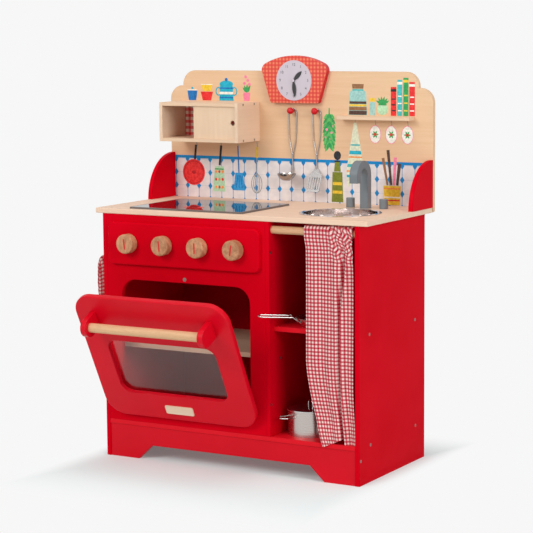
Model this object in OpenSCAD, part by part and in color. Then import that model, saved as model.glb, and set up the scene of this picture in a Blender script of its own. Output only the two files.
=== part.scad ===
// Wooden toy kitchen: an oven with a drop-down door, a hob, a sink and a backboard.
// Millimetres, +Z up, the front faces -Y. The origin is the middle of the footprint at the floor,
// measured with the oven door resting ajar. F in the comments means the distance behind the
// front faces of the cabinet boards.

/* [Cabinet] */
// Width over the two side panels
cabinet_w = 565; // [500:1:700]
// Depth from the front faces to the backboard
cabinet_d = 280; // [260:1:340]
// Height from the floor to the top of the worktop
worktop_z = 495; // [460:1:560]
// Thickness of the cabinet boards
board_t = 9; // [8:0.5:12]
// Thickness of the cabinet's back panel
back_t = 4; // [3:0.5:6]
// Thickness of the worktop
worktop_t = 10; // [9:0.5:14]
// How far the worktop stands out past each side panel
worktop_over = 17.5; // [17:0.5:30]
// How far the worktop stands out past the front
worktop_lip = 2; // [0:0.5:10]
// Height of the kick board under the base board
plinth_h = 66; // [50:1:90]
// Height of the cut-out between the feet
cutout_h = 29; // [15:1:40]
// Width of each foot at the floor
foot_w = 65.5; // [40:0.5:90]
// Slope of the cut-out's ends, measured along X
cutout_slope = 31; // [5:1:50]
// How far the kick board sits behind the front
plinth_back = 1.5; // [0:0.5:6]
// Clear width of the open bay on the right
bay_w = 180; // [165:1:200]
// Height of the red shelf above the base board
bay_shelf_up = 200.5; // [170:0.5:230]
// How far the red shelf sits behind the front
bay_shelf_back = 17; // [16:0.5:30]
// Height of the oven shelf above the base board
oven_shelf_up = 141; // [100:1:180]
// How far the oven shelf sits behind the front
oven_shelf_back = 40; // [25:1:60]

/* [Oven front] */
// Fascia above the control plate
plate_top_gap = 15; // [8:1:25]
// Height of the control plate
plate_h = 83; // [70:1:90]
// Thickness of the control plate
plate_t = 9; // [6:0.5:12]
// Gap from the control plate to the oven door's top edge
plate_door_gap = 11; // [6:1:20]
// Space left at each side of the control plate and the door
front_margin = 8; // [4:0.5:14]
// Height of the door's lower edge above the base board
door_up = 20; // [14:0.5:26]
// Width of the frame round the oven mouth at the sides
mouth_side = 33.5; // [25:0.5:45]
// Height of the oven mouth above the door's lower edge
mouth_up = 23; // [20:0.5:30]
// Distance of the oven mouth below the door's top edge
mouth_down = 19; // [18:0.5:28]
// Corner radius of the oven mouth
mouth_r = 32; // [15:1:45]

/* [Oven door] */
// Thickness of the door
door_t = 12; // [9:0.5:16]
// Corner radius of the door
door_r = 40; // [20:1:60]
// Softening of the edges of the door and the control plate
edge_r = 2.5; // [1:0.5:4]
// Angle at which the door rests ajar
door_ajar = 26.8; // [0:0.1:60]
// Gap between the closed door and the cabinet
door_gap = 1; // [0.8:0.1:2]
// Frame at each side of the window
window_side = 49.5; // [35:0.5:70]
// Frame below the window
window_low = 58; // [45:1:70]
// Frame above the window
window_high = 99; // [90:1:120]
// Corner radius of the window
window_r = 22; // [8:1:35]
// Thickness of the window pane
pane_t = 3; // [2:0.5:4]
// Distance of the handle below the door's top edge
handle_down = 52; // [40:1:60]
// Diameter of the handle bar
bar_d = 18; // [12:0.5:22]
// Distance of the bar's middle from the door's face
bar_out = 27; // [22:0.5:35]
// Distance of the handle brackets from the door's sides
bracket_in = 35; // [30:0.5:45]
// Thickness of each bracket
bracket_t = 12; // [10:0.5:16]
// Height of each bracket on the door
bracket_h = 36; // [28:0.5:44]
// Width of the bare wooden plate on the door
badge_w = 63; // [40:1:80]
// Height of that plate
badge_h = 19; // [12:0.5:24]
// Thickness of that plate
badge_t = 2; // [1:0.5:4]
// Height of that plate above the door's lower edge
badge_up = 16; // [10:0.5:20]

/* [Hinges] */
// Distance of each hinge from the door's middle
hinge_out = 110; // [60:1:115]
// Length of a hinge
hinge_w = 36; // [24:1:45]
// Radius of the hinge knuckles
knuckle_r = 2.2; // [2:0.1:2.6]
// Height of the hinge leaves
leaf_h = 16; // [12:0.5:18]
// Thickness of the hinge leaves
leaf_t = 1; // [0.8:0.1:1.4]
// Diameter of the hinge pin
hinge_pin_d = 2; // [1.6:0.1:2.4]

/* [Knobs] */
// Diameter of a knob
knob_d = 38; // [30:0.5:42]
// Thickness of a knob
knob_t = 19; // [14:0.5:24]
// Distance of the inner knobs from the middle
knob_in = 40; // [30:1:42]
// Distance of the outer knobs from the middle
knob_out = 120; // [95:1:135]
// Diameter of the spindles that the knobs and taps turn on
spindle_d = 8; // [6:0.5:10]

/* [Hob and sink] */
// Width of the hob glass
hob_w = 256; // [200:1:280]
// Depth of the hob glass
hob_d = 186; // [150:1:190]
// Thickness of the hob glass
hob_t = 3.5; // [2:0.5:6]
// Distance of the hob behind the front
hob_back = 12; // [8:1:30]
// Space between the sink bowl and the bay's sides
sink_side = 20; // [14:0.5:30]
// Distance of the sink's middle behind the front
sink_back = 107; // [100:1:115]
// How far the sink sits to the right of the bay's middle
sink_right = 5; // [0:0.5:8]
// Depth of the sink bowl
sink_deep = 36; // [25:1:60]
// Width of the sink's flange
flange_w = 8.5; // [5:0.5:12]
// Thickness of the sink's metal
sink_wall = 1; // [0.8:0.1:2]
// Thickness of the spout from side to side
spout_w = 17; // [12:0.5:22]
// Depth of the spout's post
spout_d = 15; // [10:0.5:20]
// Inner radius of the spout's arch
spout_r = 14.5; // [10:0.5:20]
// Height of the arch's centre above the worktop
spout_up = 64.5; // [50:0.5:80]
// Length of the straight end of the spout
spout_end = 12.5; // [4:0.5:25]
// Gap between the sink and the spout's post
spout_gap = 18.5; // [10:0.5:22]
// Diameter of a tap
tap_d = 17; // [12:0.5:22]
// Height of a tap
tap_h = 19; // [15:0.5:26]
// Distance of each tap from the spout
tap_out = 36; // [25:0.5:42]

/* [Backboard] */
// Height of the backboard above the worktop's top
back_h = 261.5; // [240:0.5:300]
// Thickness of the backboard
backboard_t = 9; // [8:0.5:12]
// Radius of the two steps at each upper corner
step_r = 29; // [15:0.5:35]
// Thickness of the quarter-round cheeks
cheek_t = 9; // [8:0.5:9]
// Radius of the quarter-round cheeks
cheek_r = 92; // [60:1:110]

/* [Wall cupboard] */
// Distance of the cupboard from the backboard's left edge
cupboard_in = 28; // [15:1:60]
// Width of the cupboard
cupboard_w = 185.5; // [160:0.5:200]
// Height of the cupboard
cupboard_h = 79; // [65:1:85]
// Depth of the cupboard
cupboard_d = 88; // [70:1:110]
// Height of the cupboard above the worktop
cupboard_up = 120; // [105:1:135]
// Thickness of the cupboard's boards
cupboard_t = 7; // [6:0.5:9]
// Width of the sliding door
slider_w = 98; // [90:1:110]
// Thickness of the sliding door
slider_t = 4; // [3:0.5:5]
// Depth of the grooves that the sliding door runs in
groove = 2.5; // [2:0.5:3.5]
// Diameter of the finger hole
finger_d = 10; // [8:0.5:16]

/* [Wall shelf and clock] */
// Distance of the wall shelf from the backboard's right edge
shelf_in = 40; // [30:1:60]
// Width of the wall shelf
shelf_w = 157.5; // [120:0.5:180]
// Depth of the wall shelf
shelf_d = 25; // [18:0.5:40]
// Height of the wall shelf above the worktop
shelf_up = 168; // [150:1:190]
// Thickness of the wall shelf
shelf_t = 7; // [6:0.5:9]
// Thickness of the clock
clock_t = 12; // [11.5:0.5:16]
// Height of the clock's flat lower edge above the worktop
clock_up = 198; // [190:1:220]
// Height of the clock
clock_h = 94.5; // [85:0.5:110]
// Half the width of the clock at its shoulders
clock_half = 74.5; // [65:0.5:85]
// Half the width of the clock at its lower edge
clock_foot = 56; // [45:0.5:64]
// Radius of the dial
dial_r = 40; // [30:0.5:42]
// Length of the hour hand
hour_l = 26; // [18:0.5:28]
// Length of the minute hand
minute_l = 33; // [24:0.5:36]

/* [Utensils] */
// Distance of the left peg from the middle
peg_left = -9; // [-20:0.5:0]
// Distance of the right peg from the middle
peg_right = 46; // [36:0.5:56]
// Height of the pegs above the worktop
peg_up = 182.5; // [165:0.5:186]
// Diameter of the red balls on the pegs
ball_d = 13.6; // [11:0.2:14]
// Diameter of the wire of the utensils
wire_d = 2.2; // [1.8:0.1:2.6]
// Width inside the wire loops
loop_w = 17; // [16:0.2:20]
// Length of the open loops
loop_l = 82; // [60:1:95]
// Length of the closed stem below the loops
stem_l = 30; // [20:1:40]
// Radius of the ladle's bowl
ladle_r = 19; // [12:0.5:19.5]
// Depth of the ladle's bowl
ladle_deep = 15; // [8:0.5:15.5]
// Width of the turner's blade
turner_w = 29; // [22:0.5:34]
// Length of the turner's blade
turner_l = 44; // [30:0.5:46]
// Lean of the turner's blade
turner_lean = 24; // [10:1:35]

/* [Pan and pot] */
// Radius of the pan's rim
pan_r = 50; // [40:0.5:52]
// Height of the pan
pan_h = 17.5; // [14:0.5:24]
// Distance of the pan's middle behind the front
pan_back = 66; // [62:1:90]
// Distance of the pan's middle from the divider
pan_right = 77.5; // [70:0.5:84]
// Direction of the pan's handle from straight ahead
pan_turn = 42; // [20:0.5:45]
// Length of the pan's handle
pan_grip = 70; // [60:1:80]
// Radius of the pot
pot_r = 44; // [38:0.5:46]
// Height of the pot
pot_h = 49; // [35:0.5:60]
// Distance of the pot's middle behind the front
pot_back = 64; // [64:1:110]
// Distance of the pot's middle from the divider
pot_right = 52; // [52:0.5:70]
// Direction of the pot's handles from straight across
pot_turn = 60; // [40:1:70]
// Thickness of the pan's and the pot's metal
pan_wall = 1.2; // [1:0.1:2]

/* [Curtain and mitt] */
// Diameter of the curtain rod
rod_d = 15; // [10:0.5:18]
// Distance of the rod's middle behind the front
rod_back = 13; // [11:0.5:15]
// Distance of the rod's middle below the worktop
rod_down = 16; // [14:0.5:24]
// Width of the drawn curtain at the rod
curtain_w = 97.5; // [80:0.5:110]
// Height of the curtain's lowest corner above the floor
curtain_low = 69; // [60:1:74]
// Thickness of the curtain's cloth
cloth_t = 0.8; // [0.6:0.1:1.2]
// Depth of the curtain's main folds
fold = 4; // [2:0.5:5]
// Width of the mitt
mitt_w = 118; // [100:1:130]
// Height of the mitt
mitt_h = 176; // [140:1:200]
// Thickness of the padded mitt
mitt_t = 15; // [10:0.5:16]
// Distance of the mitt's front edge behind the cabinet front
mitt_back = 1; // [0:0.5:10]
// Height of the mitt's top above the floor
mitt_top = 400; // [360:1:410]

/* [Screws] */
// Diameter of a screw head
head_d = 6; // [5:0.2:6.4]
// Diameter of a screw's shank
shank_d = 3; // [2.4:0.2:3.4]
// Length of a screw
screw_l = 20; // [14:0.5:20]

/* [Hidden] */
$fn = 48;
fit = 0.05;
apart = 0.3;
depth = cabinet_d + backboard_t;
in_l = board_t - cabinet_w / 2;
in_r = cabinet_w / 2 - board_t;
div_r = in_r - bay_w;
div_l = div_r - board_t;
base_top = plinth_h + board_t;
under = worktop_z - worktop_t;
panel_f = cabinet_d - back_t;
oven_w = div_l - in_l;
oven_x = (in_l + div_l) / 2;
plate_z = under - plate_top_gap - plate_h;
door_z = base_top + door_up;
door_w = oven_w - 2 * front_margin;
door_h = plate_z - plate_door_gap - door_z;
mouth_w = oven_w - 2 * mouth_side;
mouth_z = door_z + mouth_up;
mouth_h = door_h - mouth_up - mouth_down;
window_w = door_w - 2 * window_side;
window_h = door_h - window_low - window_high;
handle_s = door_h - handle_down;
bar_l = door_w - 2 * bracket_in - 2 * bracket_t;
bar_hold = bracket_t / 2;
door_reach = door_gap / 2 + cos(door_ajar) * (door_gap / 2 + door_t + bar_out)
  + sin(door_ajar) * handle_s + bracket_h / 2;
y_front = (door_reach - depth) / 2;
catch_s = door_h - 12;
magnet_d = 8;
bay_shelf_z = base_top + bay_shelf_up;
oven_shelf_z = base_top + oven_shelf_up;
rod_z = under - rod_down;
rod_hold = board_t / 2;
work_w = cabinet_w + 2 * worktop_over;
sink_x = (div_r + in_r) / 2 + sink_right;
sink_r = bay_w / 2 - sink_side;
post_f = sink_back + sink_r + flange_w + spout_gap;
tap_f = post_f + spout_d / 2 + 6;
tap_pin_d = spindle_d - 2;
cup_x = -work_w / 2 + cupboard_in;
cup_z = worktop_z + cupboard_up;
cup_f = cabinet_d - cupboard_d;
slider_f = cup_f + 3;
slider_x = cup_x + cupboard_w - cupboard_t - apart - slider_w;
shelf_x = work_w / 2 - shelf_in - shelf_w;
shelf_z = worktop_z + shelf_up;
clock_z = worktop_z + clock_up;
clock_f = cabinet_d - clock_t;
dial_z = clock_z + clock_h / 2 - 2;
dial_t = 1;
hand_t = 0.8;
pin_d = 3;
peg_z = worktop_z + peg_up;
stem_d = 6;
ball_f = cabinet_d - 12;
hang_f = ball_f + 9.4;
loop_r = (loop_w + wire_d) / 2;
loop_z = peg_z + stem_d / 2 - loop_w / 2;
pan_x = div_r + pan_right;
pan_z = bay_shelf_z + board_t;
pot_x = div_r + pot_right;
rim_z = base_top + pot_h;

// Places a child at X, at a distance behind the front, and at a height.
module at(x, f, z) translate([x, y_front + f, z]) children();

// A plain board between two corners.
module board(x0, x1, f0, f1, z0, z1) at(x0, f0, z0) cube([x1 - x0, f1 - f0, z1 - z0]);

// A flat rounded rectangle, centred.
module round_rect(w, h, r) {
  square([w - 2 * r, h], center = true);
  square([w, h - 2 * r], center = true);
  for (x = [-1, 1], y = [-1, 1]) translate([x * (w / 2 - r), y * (h / 2 - r)]) circle(r);
}

// The section of a soft edge, rounded at its top and, if asked, at its bottom.
module edge_section(d, t, e, both) {
  square([d - e, t]);
  translate([0, both ? e : 0]) square([d, t - (both ? 2 : 1) * e]);
  translate([d - e, t - e]) circle(e, $fn = 24);
  if (both) translate([d - e, e]) circle(e, $fn = 24);
}

// A rounded plate with soft edges, lying on XY, its upper edge rounded.
module soft_slab(w, h, t, r, e, both = false) {
  cube_w = w - 2 * r;
  cube_h = h - 2 * r;
  translate([-cube_w / 2, -cube_h / 2, 0]) cube([cube_w, cube_h, t]);
  for (q = [0 : 3]) {
    a = q % 2 == 0 ? w : h;
    b = q % 2 == 0 ? h : w;
    rotate([0, 0, 90 * q]) {
      translate([a / 2 - r, b / 2 - r, 0])
        rotate([90, 0, 0]) linear_extrude(b - 2 * r) edge_section(r, t, e, both);
      translate([a / 2 - r, b / 2 - r, 0])
        rotate_extrude(angle = 90) edge_section(r, t, e, both);
    }
  }
}

// Turns a plate that lies on XY so that it stands on its edge and its top faces the front.
module facing() rotate([90, 0, 0]) children();

// A side outline, drawn as (distance behind, height), pulled along +X.
module along_x(l) rotate([90, 0, 90]) linear_extrude(l) children();

// A straight round rod between two points.
module rod(p, q, d) {
  v = q - p;
  l = norm(v);
  translate(p) rotate([0, acos(v[2] / l), atan2(v[1], v[0])]) cylinder(d = d, h = l, $fn = 20);
}

// A countersunk screw along +Z, or the hole that it needs.
module screw(l, head, shank, hole = false) {
  g = hole ? fit : 0;
  sink = (head - shank) / 2;
  difference() {
    union() {
      cylinder(r1 = head / 2 + g, r2 = shank / 2 + g, h = sink + g, $fn = 24);
      cylinder(r = shank / 2 + g, h = l + 6 * g, $fn = 24);
      if (hole) translate([0, 0, -1]) cylinder(r = head / 2 + g, h = 1.01, $fn = 24);
    }
    if (!hole) for (a = [0, 90]) rotate([0, 0, a + 20])
      translate([-head * 0.3, -head * 0.07, -1]) cube([head * 0.6, head * 0.14, 1 + sink * 0.5]);
  }
}

module into_right() rotate([0, 90, 0]) children();
module into_left() rotate([0, -90, 0]) children();
module into_front() rotate([90, 0, 0]) children();
module into_back() rotate([-90, 0, 0]) children();

module right_screws(hole = false) {
  for (p = [[42, bay_shelf_z + board_t / 2], [panel_f - 39, bay_shelf_z + board_t / 2],
            [46, plinth_h + board_t / 2], [panel_f - 36, plinth_h + board_t / 2],
            [plinth_back + board_t / 2, plinth_h - 19]])
    at(cabinet_w / 2, p[0], p[1]) into_left() screw(screw_l, head_d, shank_d, hole);
}

module left_screws(hole = false) {
  for (p = [[42, oven_shelf_z + board_t / 2], [panel_f - 39, oven_shelf_z + board_t / 2],
            [46, plinth_h + board_t / 2], [panel_f - 36, plinth_h + board_t / 2],
            [board_t / 2, base_top + 61], [board_t / 2, under - 59],
            [plinth_back + board_t / 2, plinth_h - 19]])
    at(-cabinet_w / 2, p[0], p[1]) into_right() screw(screw_l, head_d, shank_d, hole);
}

module divider_screws(hole = false) {
  for (p = [[42, oven_shelf_z + board_t / 2], [panel_f - 39, oven_shelf_z + board_t / 2],
            [board_t / 2, base_top + 61], [board_t / 2, under - 59]])
    at(div_r, p[0], p[1]) into_left() screw(screw_l, head_d, shank_d, hole);
  for (p = [[42, bay_shelf_z + board_t / 2], [panel_f - 39, bay_shelf_z + board_t / 2]])
    at(div_l, p[0], p[1]) into_right() screw(screw_l, head_d, shank_d, hole);
}

module panel_screws(hole = false) {
  for (p = [[-work_w * 0.3, plinth_h + board_t / 2], [work_w * 0.3, plinth_h + board_t / 2],
            [(div_r + in_r) / 2, bay_shelf_z + board_t / 2],
            [oven_x, oven_shelf_z + board_t / 2]])
    at(p[0], cabinet_d, p[1]) into_front() screw(screw_l, head_d, shank_d, hole);
}

module worktop_screws(hole = false) {
  for (x = [-0.4, -0.13, 0.13, 0.4])
    at(x * work_w, depth, worktop_z - worktop_t / 2) into_front() screw(screw_l, head_d, shank_d, hole);
}

module cheek_screws(hole = false) {
  for (s = [-1, 1], z = [20, cheek_r * 0.7])
    at(s * (work_w / 2 - cheek_t / 2), depth, worktop_z + z) into_front()
      screw(screw_l, head_d, shank_d, hole);
}

module cupboard_back_screws(hole = false) {
  for (x = [0.2, 0.8], z = [cupboard_t / 2, cupboard_h - cupboard_t / 2])
    at(cup_x + x * cupboard_w, depth, cup_z + z) into_front() screw(screw_l, head_d, shank_d, hole);
}

module cupboard_end_screws(hole = false) {
  for (f = [0.25, 0.75], z = [cupboard_t / 2, cupboard_h - cupboard_t / 2]) {
    at(cup_x + cupboard_w, cup_f + f * cupboard_d, cup_z + z) into_left()
      screw(screw_l, head_d * 0.8, shank_d * 0.8, hole);
    at(cup_x, cup_f + f * cupboard_d, cup_z + z) into_right()
      screw(screw_l, head_d * 0.8, shank_d * 0.8, hole);
  }
}

module shelf_screws(hole = false) {
  for (x = [0.15, 0.85])
    at(shelf_x + x * shelf_w, depth, shelf_z + shelf_t / 2) into_front()
      screw(screw_l, head_d, shank_d, hole);
}

module clock_screws(hole = false) {
  for (x = [-32, 32])
    at(x, depth, clock_z + 22) into_front() screw(screw_l, head_d, shank_d, hole);
}

// The dowels between the worktop and what stands above and below it.
module dowels(hole = false) {
  g = hole ? fit : 0;
  hold = min(6, worktop_t - 3);
  for (x = [-cabinet_w / 2 + board_t / 2, (div_l + div_r) / 2, cabinet_w / 2 - board_t / 2],
       f = [40, panel_f - 40])
    at(x, f, under - 14 - g) cylinder(d = 5 + 2 * g, h = 14 + hold + 2 * g, $fn = 24);
}

module left_side_panel() color([0.8, 0.01, 0.1]) difference() {
  board(-cabinet_w / 2, in_l, 0, cabinet_d, 0, under);
  left_screws(true);
  dowels(true);
  at(-cabinet_w / 2 - 1, mitt_hang_f, mitt_hang_z) into_right()
    cylinder(d = peg_pin_d + 2 * fit, h = 1 + peg_hold + fit, $fn = 24);
}

module right_side_panel() color([0.8, 0.01, 0.1]) difference() {
  board(in_r, cabinet_w / 2, 0, cabinet_d, 0, under);
  right_screws(true);
  dowels(true);
  at(in_r - 1, rod_back, rod_z) into_right() cylinder(d = rod_d + 2 * fit, h = 1 + rod_hold + fit);
}

module divider_panel() color([0.8, 0.01, 0.1]) difference() {
  board(div_l, div_r, 0, panel_f, base_top, under);
  divider_screws(true);
  dowels(true);
  at(div_r - rod_hold - fit, rod_back, rod_z) into_right()
    cylinder(d = rod_d + 2 * fit, h = 1 + rod_hold + fit);
}

module base_board() color([0.8, 0.01, 0.1]) difference() {
  board(in_l, in_r, 0, panel_f, plinth_h, base_top);
  right_screws(true);
  left_screws(true);
  panel_screws(true);
}

module cabinet_back_panel() color([0.8, 0.01, 0.1]) difference() {
  board(in_l, in_r, panel_f, cabinet_d, plinth_h, under);
  panel_screws(true);
}

module kick_board() color([0.8, 0.01, 0.1]) difference() {
  at(0, plinth_back + board_t, 0) rotate([90, 0, 0]) linear_extrude(board_t) polygon([
    [in_l, 0], [in_l + foot_w, 0], [in_l + foot_w + cutout_slope, cutout_h],
    [in_r - foot_w - cutout_slope, cutout_h], [in_r - foot_w, 0], [in_r, 0],
    [in_r, plinth_h], [in_l, plinth_h]]);
  right_screws(true);
  left_screws(true);
}

module front_panel() color([0.8, 0.01, 0.1]) difference() {
  board(in_l, div_l, 0, board_t, base_top, under);
  at(oven_x, board_t + 1, mouth_z + mouth_h / 2) facing() linear_extrude(board_t + 2)
    round_rect(mouth_w, mouth_h, mouth_r);
  left_screws(true);
  divider_screws(true);
  knob_spindles(fit);
  at(oven_x, -1, door_z + catch_s) into_back() cylinder(d = magnet_d + 2 * fit, h = 8 + fit);
  at(oven_x, 0, door_z) for (s = [-1, 1]) translate([s * hinge_out, 0, 0]) {
    translate([-hinge_w / 2 - fit, -1, 0]) cube([hinge_w + 2 * fit, 1 + leaf_t + fit, leaf_h + fit]);
    translate([-hinge_w / 2 - fit, -door_gap / 2, 0]) into_right()
      cylinder(r = knuckle_r + 0.4, h = hinge_w + 2 * fit, $fn = 32);
  }
  leaf_screws_fixed(true);
}

module control_plate() color([0.8, 0.01, 0.1]) difference() {
  at(oven_x, 0, plate_z + plate_h / 2) facing()
    soft_slab(oven_w - 2 * front_margin - 1, plate_h, plate_t, 12, edge_r);
  knob_spindles(fit);
}

module compartment_shelf() color([0.8, 0.01, 0.1]) difference() {
  board(div_r, in_r, bay_shelf_back, panel_f, bay_shelf_z, bay_shelf_z + board_t);
  right_screws(true);
  divider_screws(true);
  panel_screws(true);
}

module oven_shelf() color([0.88, 0.76, 0.6]) difference() {
  board(in_l, div_l, oven_shelf_back, panel_f, oven_shelf_z, oven_shelf_z + board_t);
  left_screws(true);
  divider_screws(true);
  panel_screws(true);
}

module worktop() color([0.88, 0.76, 0.6]) difference() {
  at(0, (cabinet_d - worktop_lip) / 2, under)
    soft_slab(work_w, cabinet_d + worktop_lip, worktop_t, 5, 1.5, true);
  at(sink_x, sink_back, under - 1) cylinder(r = sink_r + sink_wall + 0.5, h = worktop_t + 2, $fn = 96);
  tap_pins(fit);
  worktop_screws(true);
  dowels(true);
  at(sink_x, post_f + spout_d / 2, worktop_z - worktop_t * 0.7 - fit)
    cylinder(d = 9 + 2 * fit, h = worktop_t, $fn = 24);
}

module cooktop() color([0.05, 0.05, 0.06])
  at(oven_x - 5.5, hob_back + hob_d / 2, worktop_z) soft_slab(hob_w, hob_d, hob_t, 3, 0.8);

module bowl_section(r, d, c) {
  translate([0, -d]) square([r - c, d]);
  translate([0, c - d]) square([r, d - c]);
  translate([r - c, c - d]) circle(c);
}

module sink_bowl() color([0.75, 0.76, 0.78]) at(sink_x, sink_back, worktop_z)
  rotate_extrude($fn = 96) difference() {
    union() {
      bowl_section(sink_r + sink_wall, sink_deep + sink_wall, 16 + sink_wall);
      square([sink_r + flange_w, 1.6]);
    }
    bowl_section(sink_r, sink_deep, 16);
    square([sink_r, 3]);
    translate([0, -sink_deep - 0.5]) square([13, 2]);
  }

module tap_spout() color([0.52, 0.54, 0.55]) {
  at(sink_x - spout_w / 2, post_f - spout_r, worktop_z) along_x(spout_w) {
    difference() {
      translate([0, spout_up]) circle(spout_r + spout_d, $fn = 96);
      translate([0, spout_up]) circle(spout_r, $fn = 96);
      translate([-100, spout_up - 200]) square([200, 200]);
    }
    translate([spout_r, 0]) square([spout_d, spout_up]);
    translate([-spout_r - spout_d, spout_up - spout_end]) square([spout_d, spout_end]);
  }
  at(sink_x, post_f + spout_d / 2, worktop_z - worktop_t * 0.7)
    cylinder(d = 9, h = worktop_t * 0.7 + 1, $fn = 24);
}

module tap_pins(g = 0) color([0.75, 0.6, 0.45]) for (s = [-1, 1])
  at(sink_x + s * tap_out, tap_f, worktop_z - worktop_t * 0.7 - g)
    cylinder(d = tap_pin_d + 2 * g, h = worktop_t * 0.7 + tap_h - 5, $fn = 24);

module tap(s) at(sink_x + s * tap_out, tap_f, worktop_z + apart) difference() {
  rotate_extrude() edge_section(tap_d / 2, tap_h - apart, 1.2, false);
  translate([0, 0, -1]) cylinder(d = tap_pin_d + 2 * fit, h = tap_h - 4 - apart, $fn = 24);
}

module hot_tap() color([0.52, 0.54, 0.55]) tap(-1);

module cold_tap() color([0.52, 0.54, 0.55]) tap(1);

// The outline of the backboard, with two rounded steps at each upper corner.
module back_outline() {
  top = back_h + worktop_t;
  w = work_w / 2;
  in = step_r + 2;
  square_h = top - 2 * step_r - 2;
  translate([-w, 4]) square([2 * w, square_h - 4]);
  translate([-w + 4, 0]) square([2 * w - 8, 5]);
  translate([-w + step_r, 4]) square([2 * w - 2 * step_r, square_h + step_r - 4]);
  translate([-w + in, 4]) square([2 * w - 2 * in, square_h + step_r - 2]);
  translate([-w + in + step_r, 4]) square([2 * w - 2 * in - 2 * step_r, top - 4]);
  for (s = [-1, 1]) {
    translate([s * (w - 4), 4]) circle(4, $fn = 24);
    translate([s * (w - step_r), square_h]) circle(step_r, $fn = 96);
    translate([s * (w - in - step_r), top - step_r]) circle(step_r, $fn = 96);
  }
}

module backboard() color([0.88, 0.76, 0.6]) difference() {
  at(0, depth, under) facing() linear_extrude(backboard_t) back_outline();
  worktop_screws(true);
  cheek_screws(true);
  cupboard_back_screws(true);
  shelf_screws(true);
  clock_screws(true);
  for (x = [peg_left, peg_right]) at(x, cabinet_d - 1, peg_z) into_back()
    cylinder(d = stem_d + 2 * fit, h = 1 + backboard_t / 2 + fit, $fn = 24);
}

module cheeks() color([0.8, 0.01, 0.1]) difference() {
  for (s = [-1, 1]) at(s * (work_w / 2 - cheek_t / 2) - cheek_t / 2, cabinet_d, worktop_z)
    along_x(cheek_t) intersection() {
      circle(cheek_r, $fn = 96);
      translate([-cheek_r - 1, 0]) square([cheek_r + 1, cheek_r + 1]);
    }
  cheek_screws(true);
}

module cupboard_top() color([0.88, 0.76, 0.6]) difference() {
  board(cup_x + cupboard_t, cup_x + cupboard_w - cupboard_t, cup_f, cabinet_d,
    cup_z + cupboard_h - cupboard_t, cup_z + cupboard_h);
  board(cup_x, cup_x + cupboard_w, slider_f - apart, slider_f + slider_t + apart,
    cup_z + cupboard_h - cupboard_t - 1, cup_z + cupboard_h - cupboard_t + groove);
  cupboard_back_screws(true);
  cupboard_end_screws(true);
}

module cupboard_bottom() color([0.88, 0.76, 0.6]) difference() {
  board(cup_x + cupboard_t, cup_x + cupboard_w - cupboard_t, cup_f, cabinet_d,
    cup_z, cup_z + cupboard_t);
  board(cup_x, cup_x + cupboard_w, slider_f - apart, slider_f + slider_t + apart,
    cup_z + cupboard_t - groove, cup_z + cupboard_t + 1);
  cupboard_back_screws(true);
  cupboard_end_screws(true);
}

module cupboard_ends() color([0.88, 0.76, 0.6]) difference() {
  for (x = [cup_x, cup_x + cupboard_w - cupboard_t])
    board(x, x + cupboard_t, cup_f, cabinet_d, cup_z, cup_z + cupboard_h);
  cupboard_end_screws(true);
}

module cupboard_door() color([0.9, 0.79, 0.63]) difference() {
  board(slider_x, slider_x + slider_w, slider_f, slider_f + slider_t,
    cup_z + cupboard_t - groove + apart, cup_z + cupboard_h - cupboard_t + groove - apart);
  at(slider_x + slider_w - 6.5 - finger_d / 2 + 5, slider_f - 1, cup_z + cupboard_h / 2) into_back()
    cylinder(d = finger_d, h = slider_t + 2);
}

module wall_shelf() color([0.88, 0.76, 0.6]) difference() {
  board(shelf_x, shelf_x + shelf_w, cabinet_d - shelf_d, cabinet_d, shelf_z, shelf_z + shelf_t);
  shelf_screws(true);
}

module utensil_pegs() color([0.8, 0.02, 0.08]) for (x = [peg_left, peg_right])
  at(x, ball_f, peg_z) into_back() {
    rotate_extrude() intersection() {
      circle(ball_d / 2);
      translate([0, -ball_d]) square([ball_d, 2 * ball_d]);
    }
    cylinder(d = stem_d, h = cabinet_d - ball_f + backboard_t / 2, $fn = 24);
  }

// Points of an arc, for outlines.
function arc(x, y, r, a, b, n) = [for (i = [0 : n]) let (t = a + (b - a) * i / n)
  [x + r * cos(t), y + r * sin(t)]];

module clock_outline() {
  s = 17;
  c = 5.5;
  low = clock_h - 30.5;
  x1 = clock_half - s;
  x2 = clock_foot - c;
  d = clock_h - low;
  dome = (x1 * x1 + d * d - s * s) / (2 * (d - s));
  lean = acos((s - c) / norm([x1 - x2, low - c])) - atan2(low - c, x1 - x2);
  up = atan2(low - clock_h + dome, x1);
  right = concat(arc(x2, c, c, -90, -lean, 5), arc(x1, low, s, -lean, up, 9),
    arc(0, clock_h - dome, dome, up + (90 - up) / 10, 90, 9));
  polygon(concat(right, [for (i = [len(right) - 2 : -1 : 0]) [-right[i][0], right[i][1]]]));
}

module clock_body() color([0.85, 0.1, 0.1]) difference() {
  at(0, cabinet_d, clock_z) facing() linear_extrude(clock_t) clock_outline();
  clock_screws(true);
  at(0, clock_f - 1, dial_z) into_back() cylinder(d = pin_d + 2 * fit, h = 7 + fit, $fn = 24);
}

module clock_dial() color([0.93, 0.92, 0.93]) at(0, clock_f - dial_t, dial_z) into_back()
  difference() {
    cylinder(r = dial_r, h = dial_t, $fn = 96);
    translate([0, 0, -1]) cylinder(d = pin_d + 2 * fit, h = dial_t + 2, $fn = 24);
  }

hour_f = clock_f - dial_t - 0.4 - hand_t;
minute_f = hour_f - 0.4 - hand_t;

module clock_pin() color([0.95, 0.95, 0.95]) at(0, minute_f - 0.4 - 1.4, dial_z) into_back() {
  cylinder(d = 2 * pin_d, h = 1.4, $fn = 32);
  cylinder(d = pin_d, h = clock_f + 6 - minute_f + 1.8, $fn = 24);
}

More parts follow.
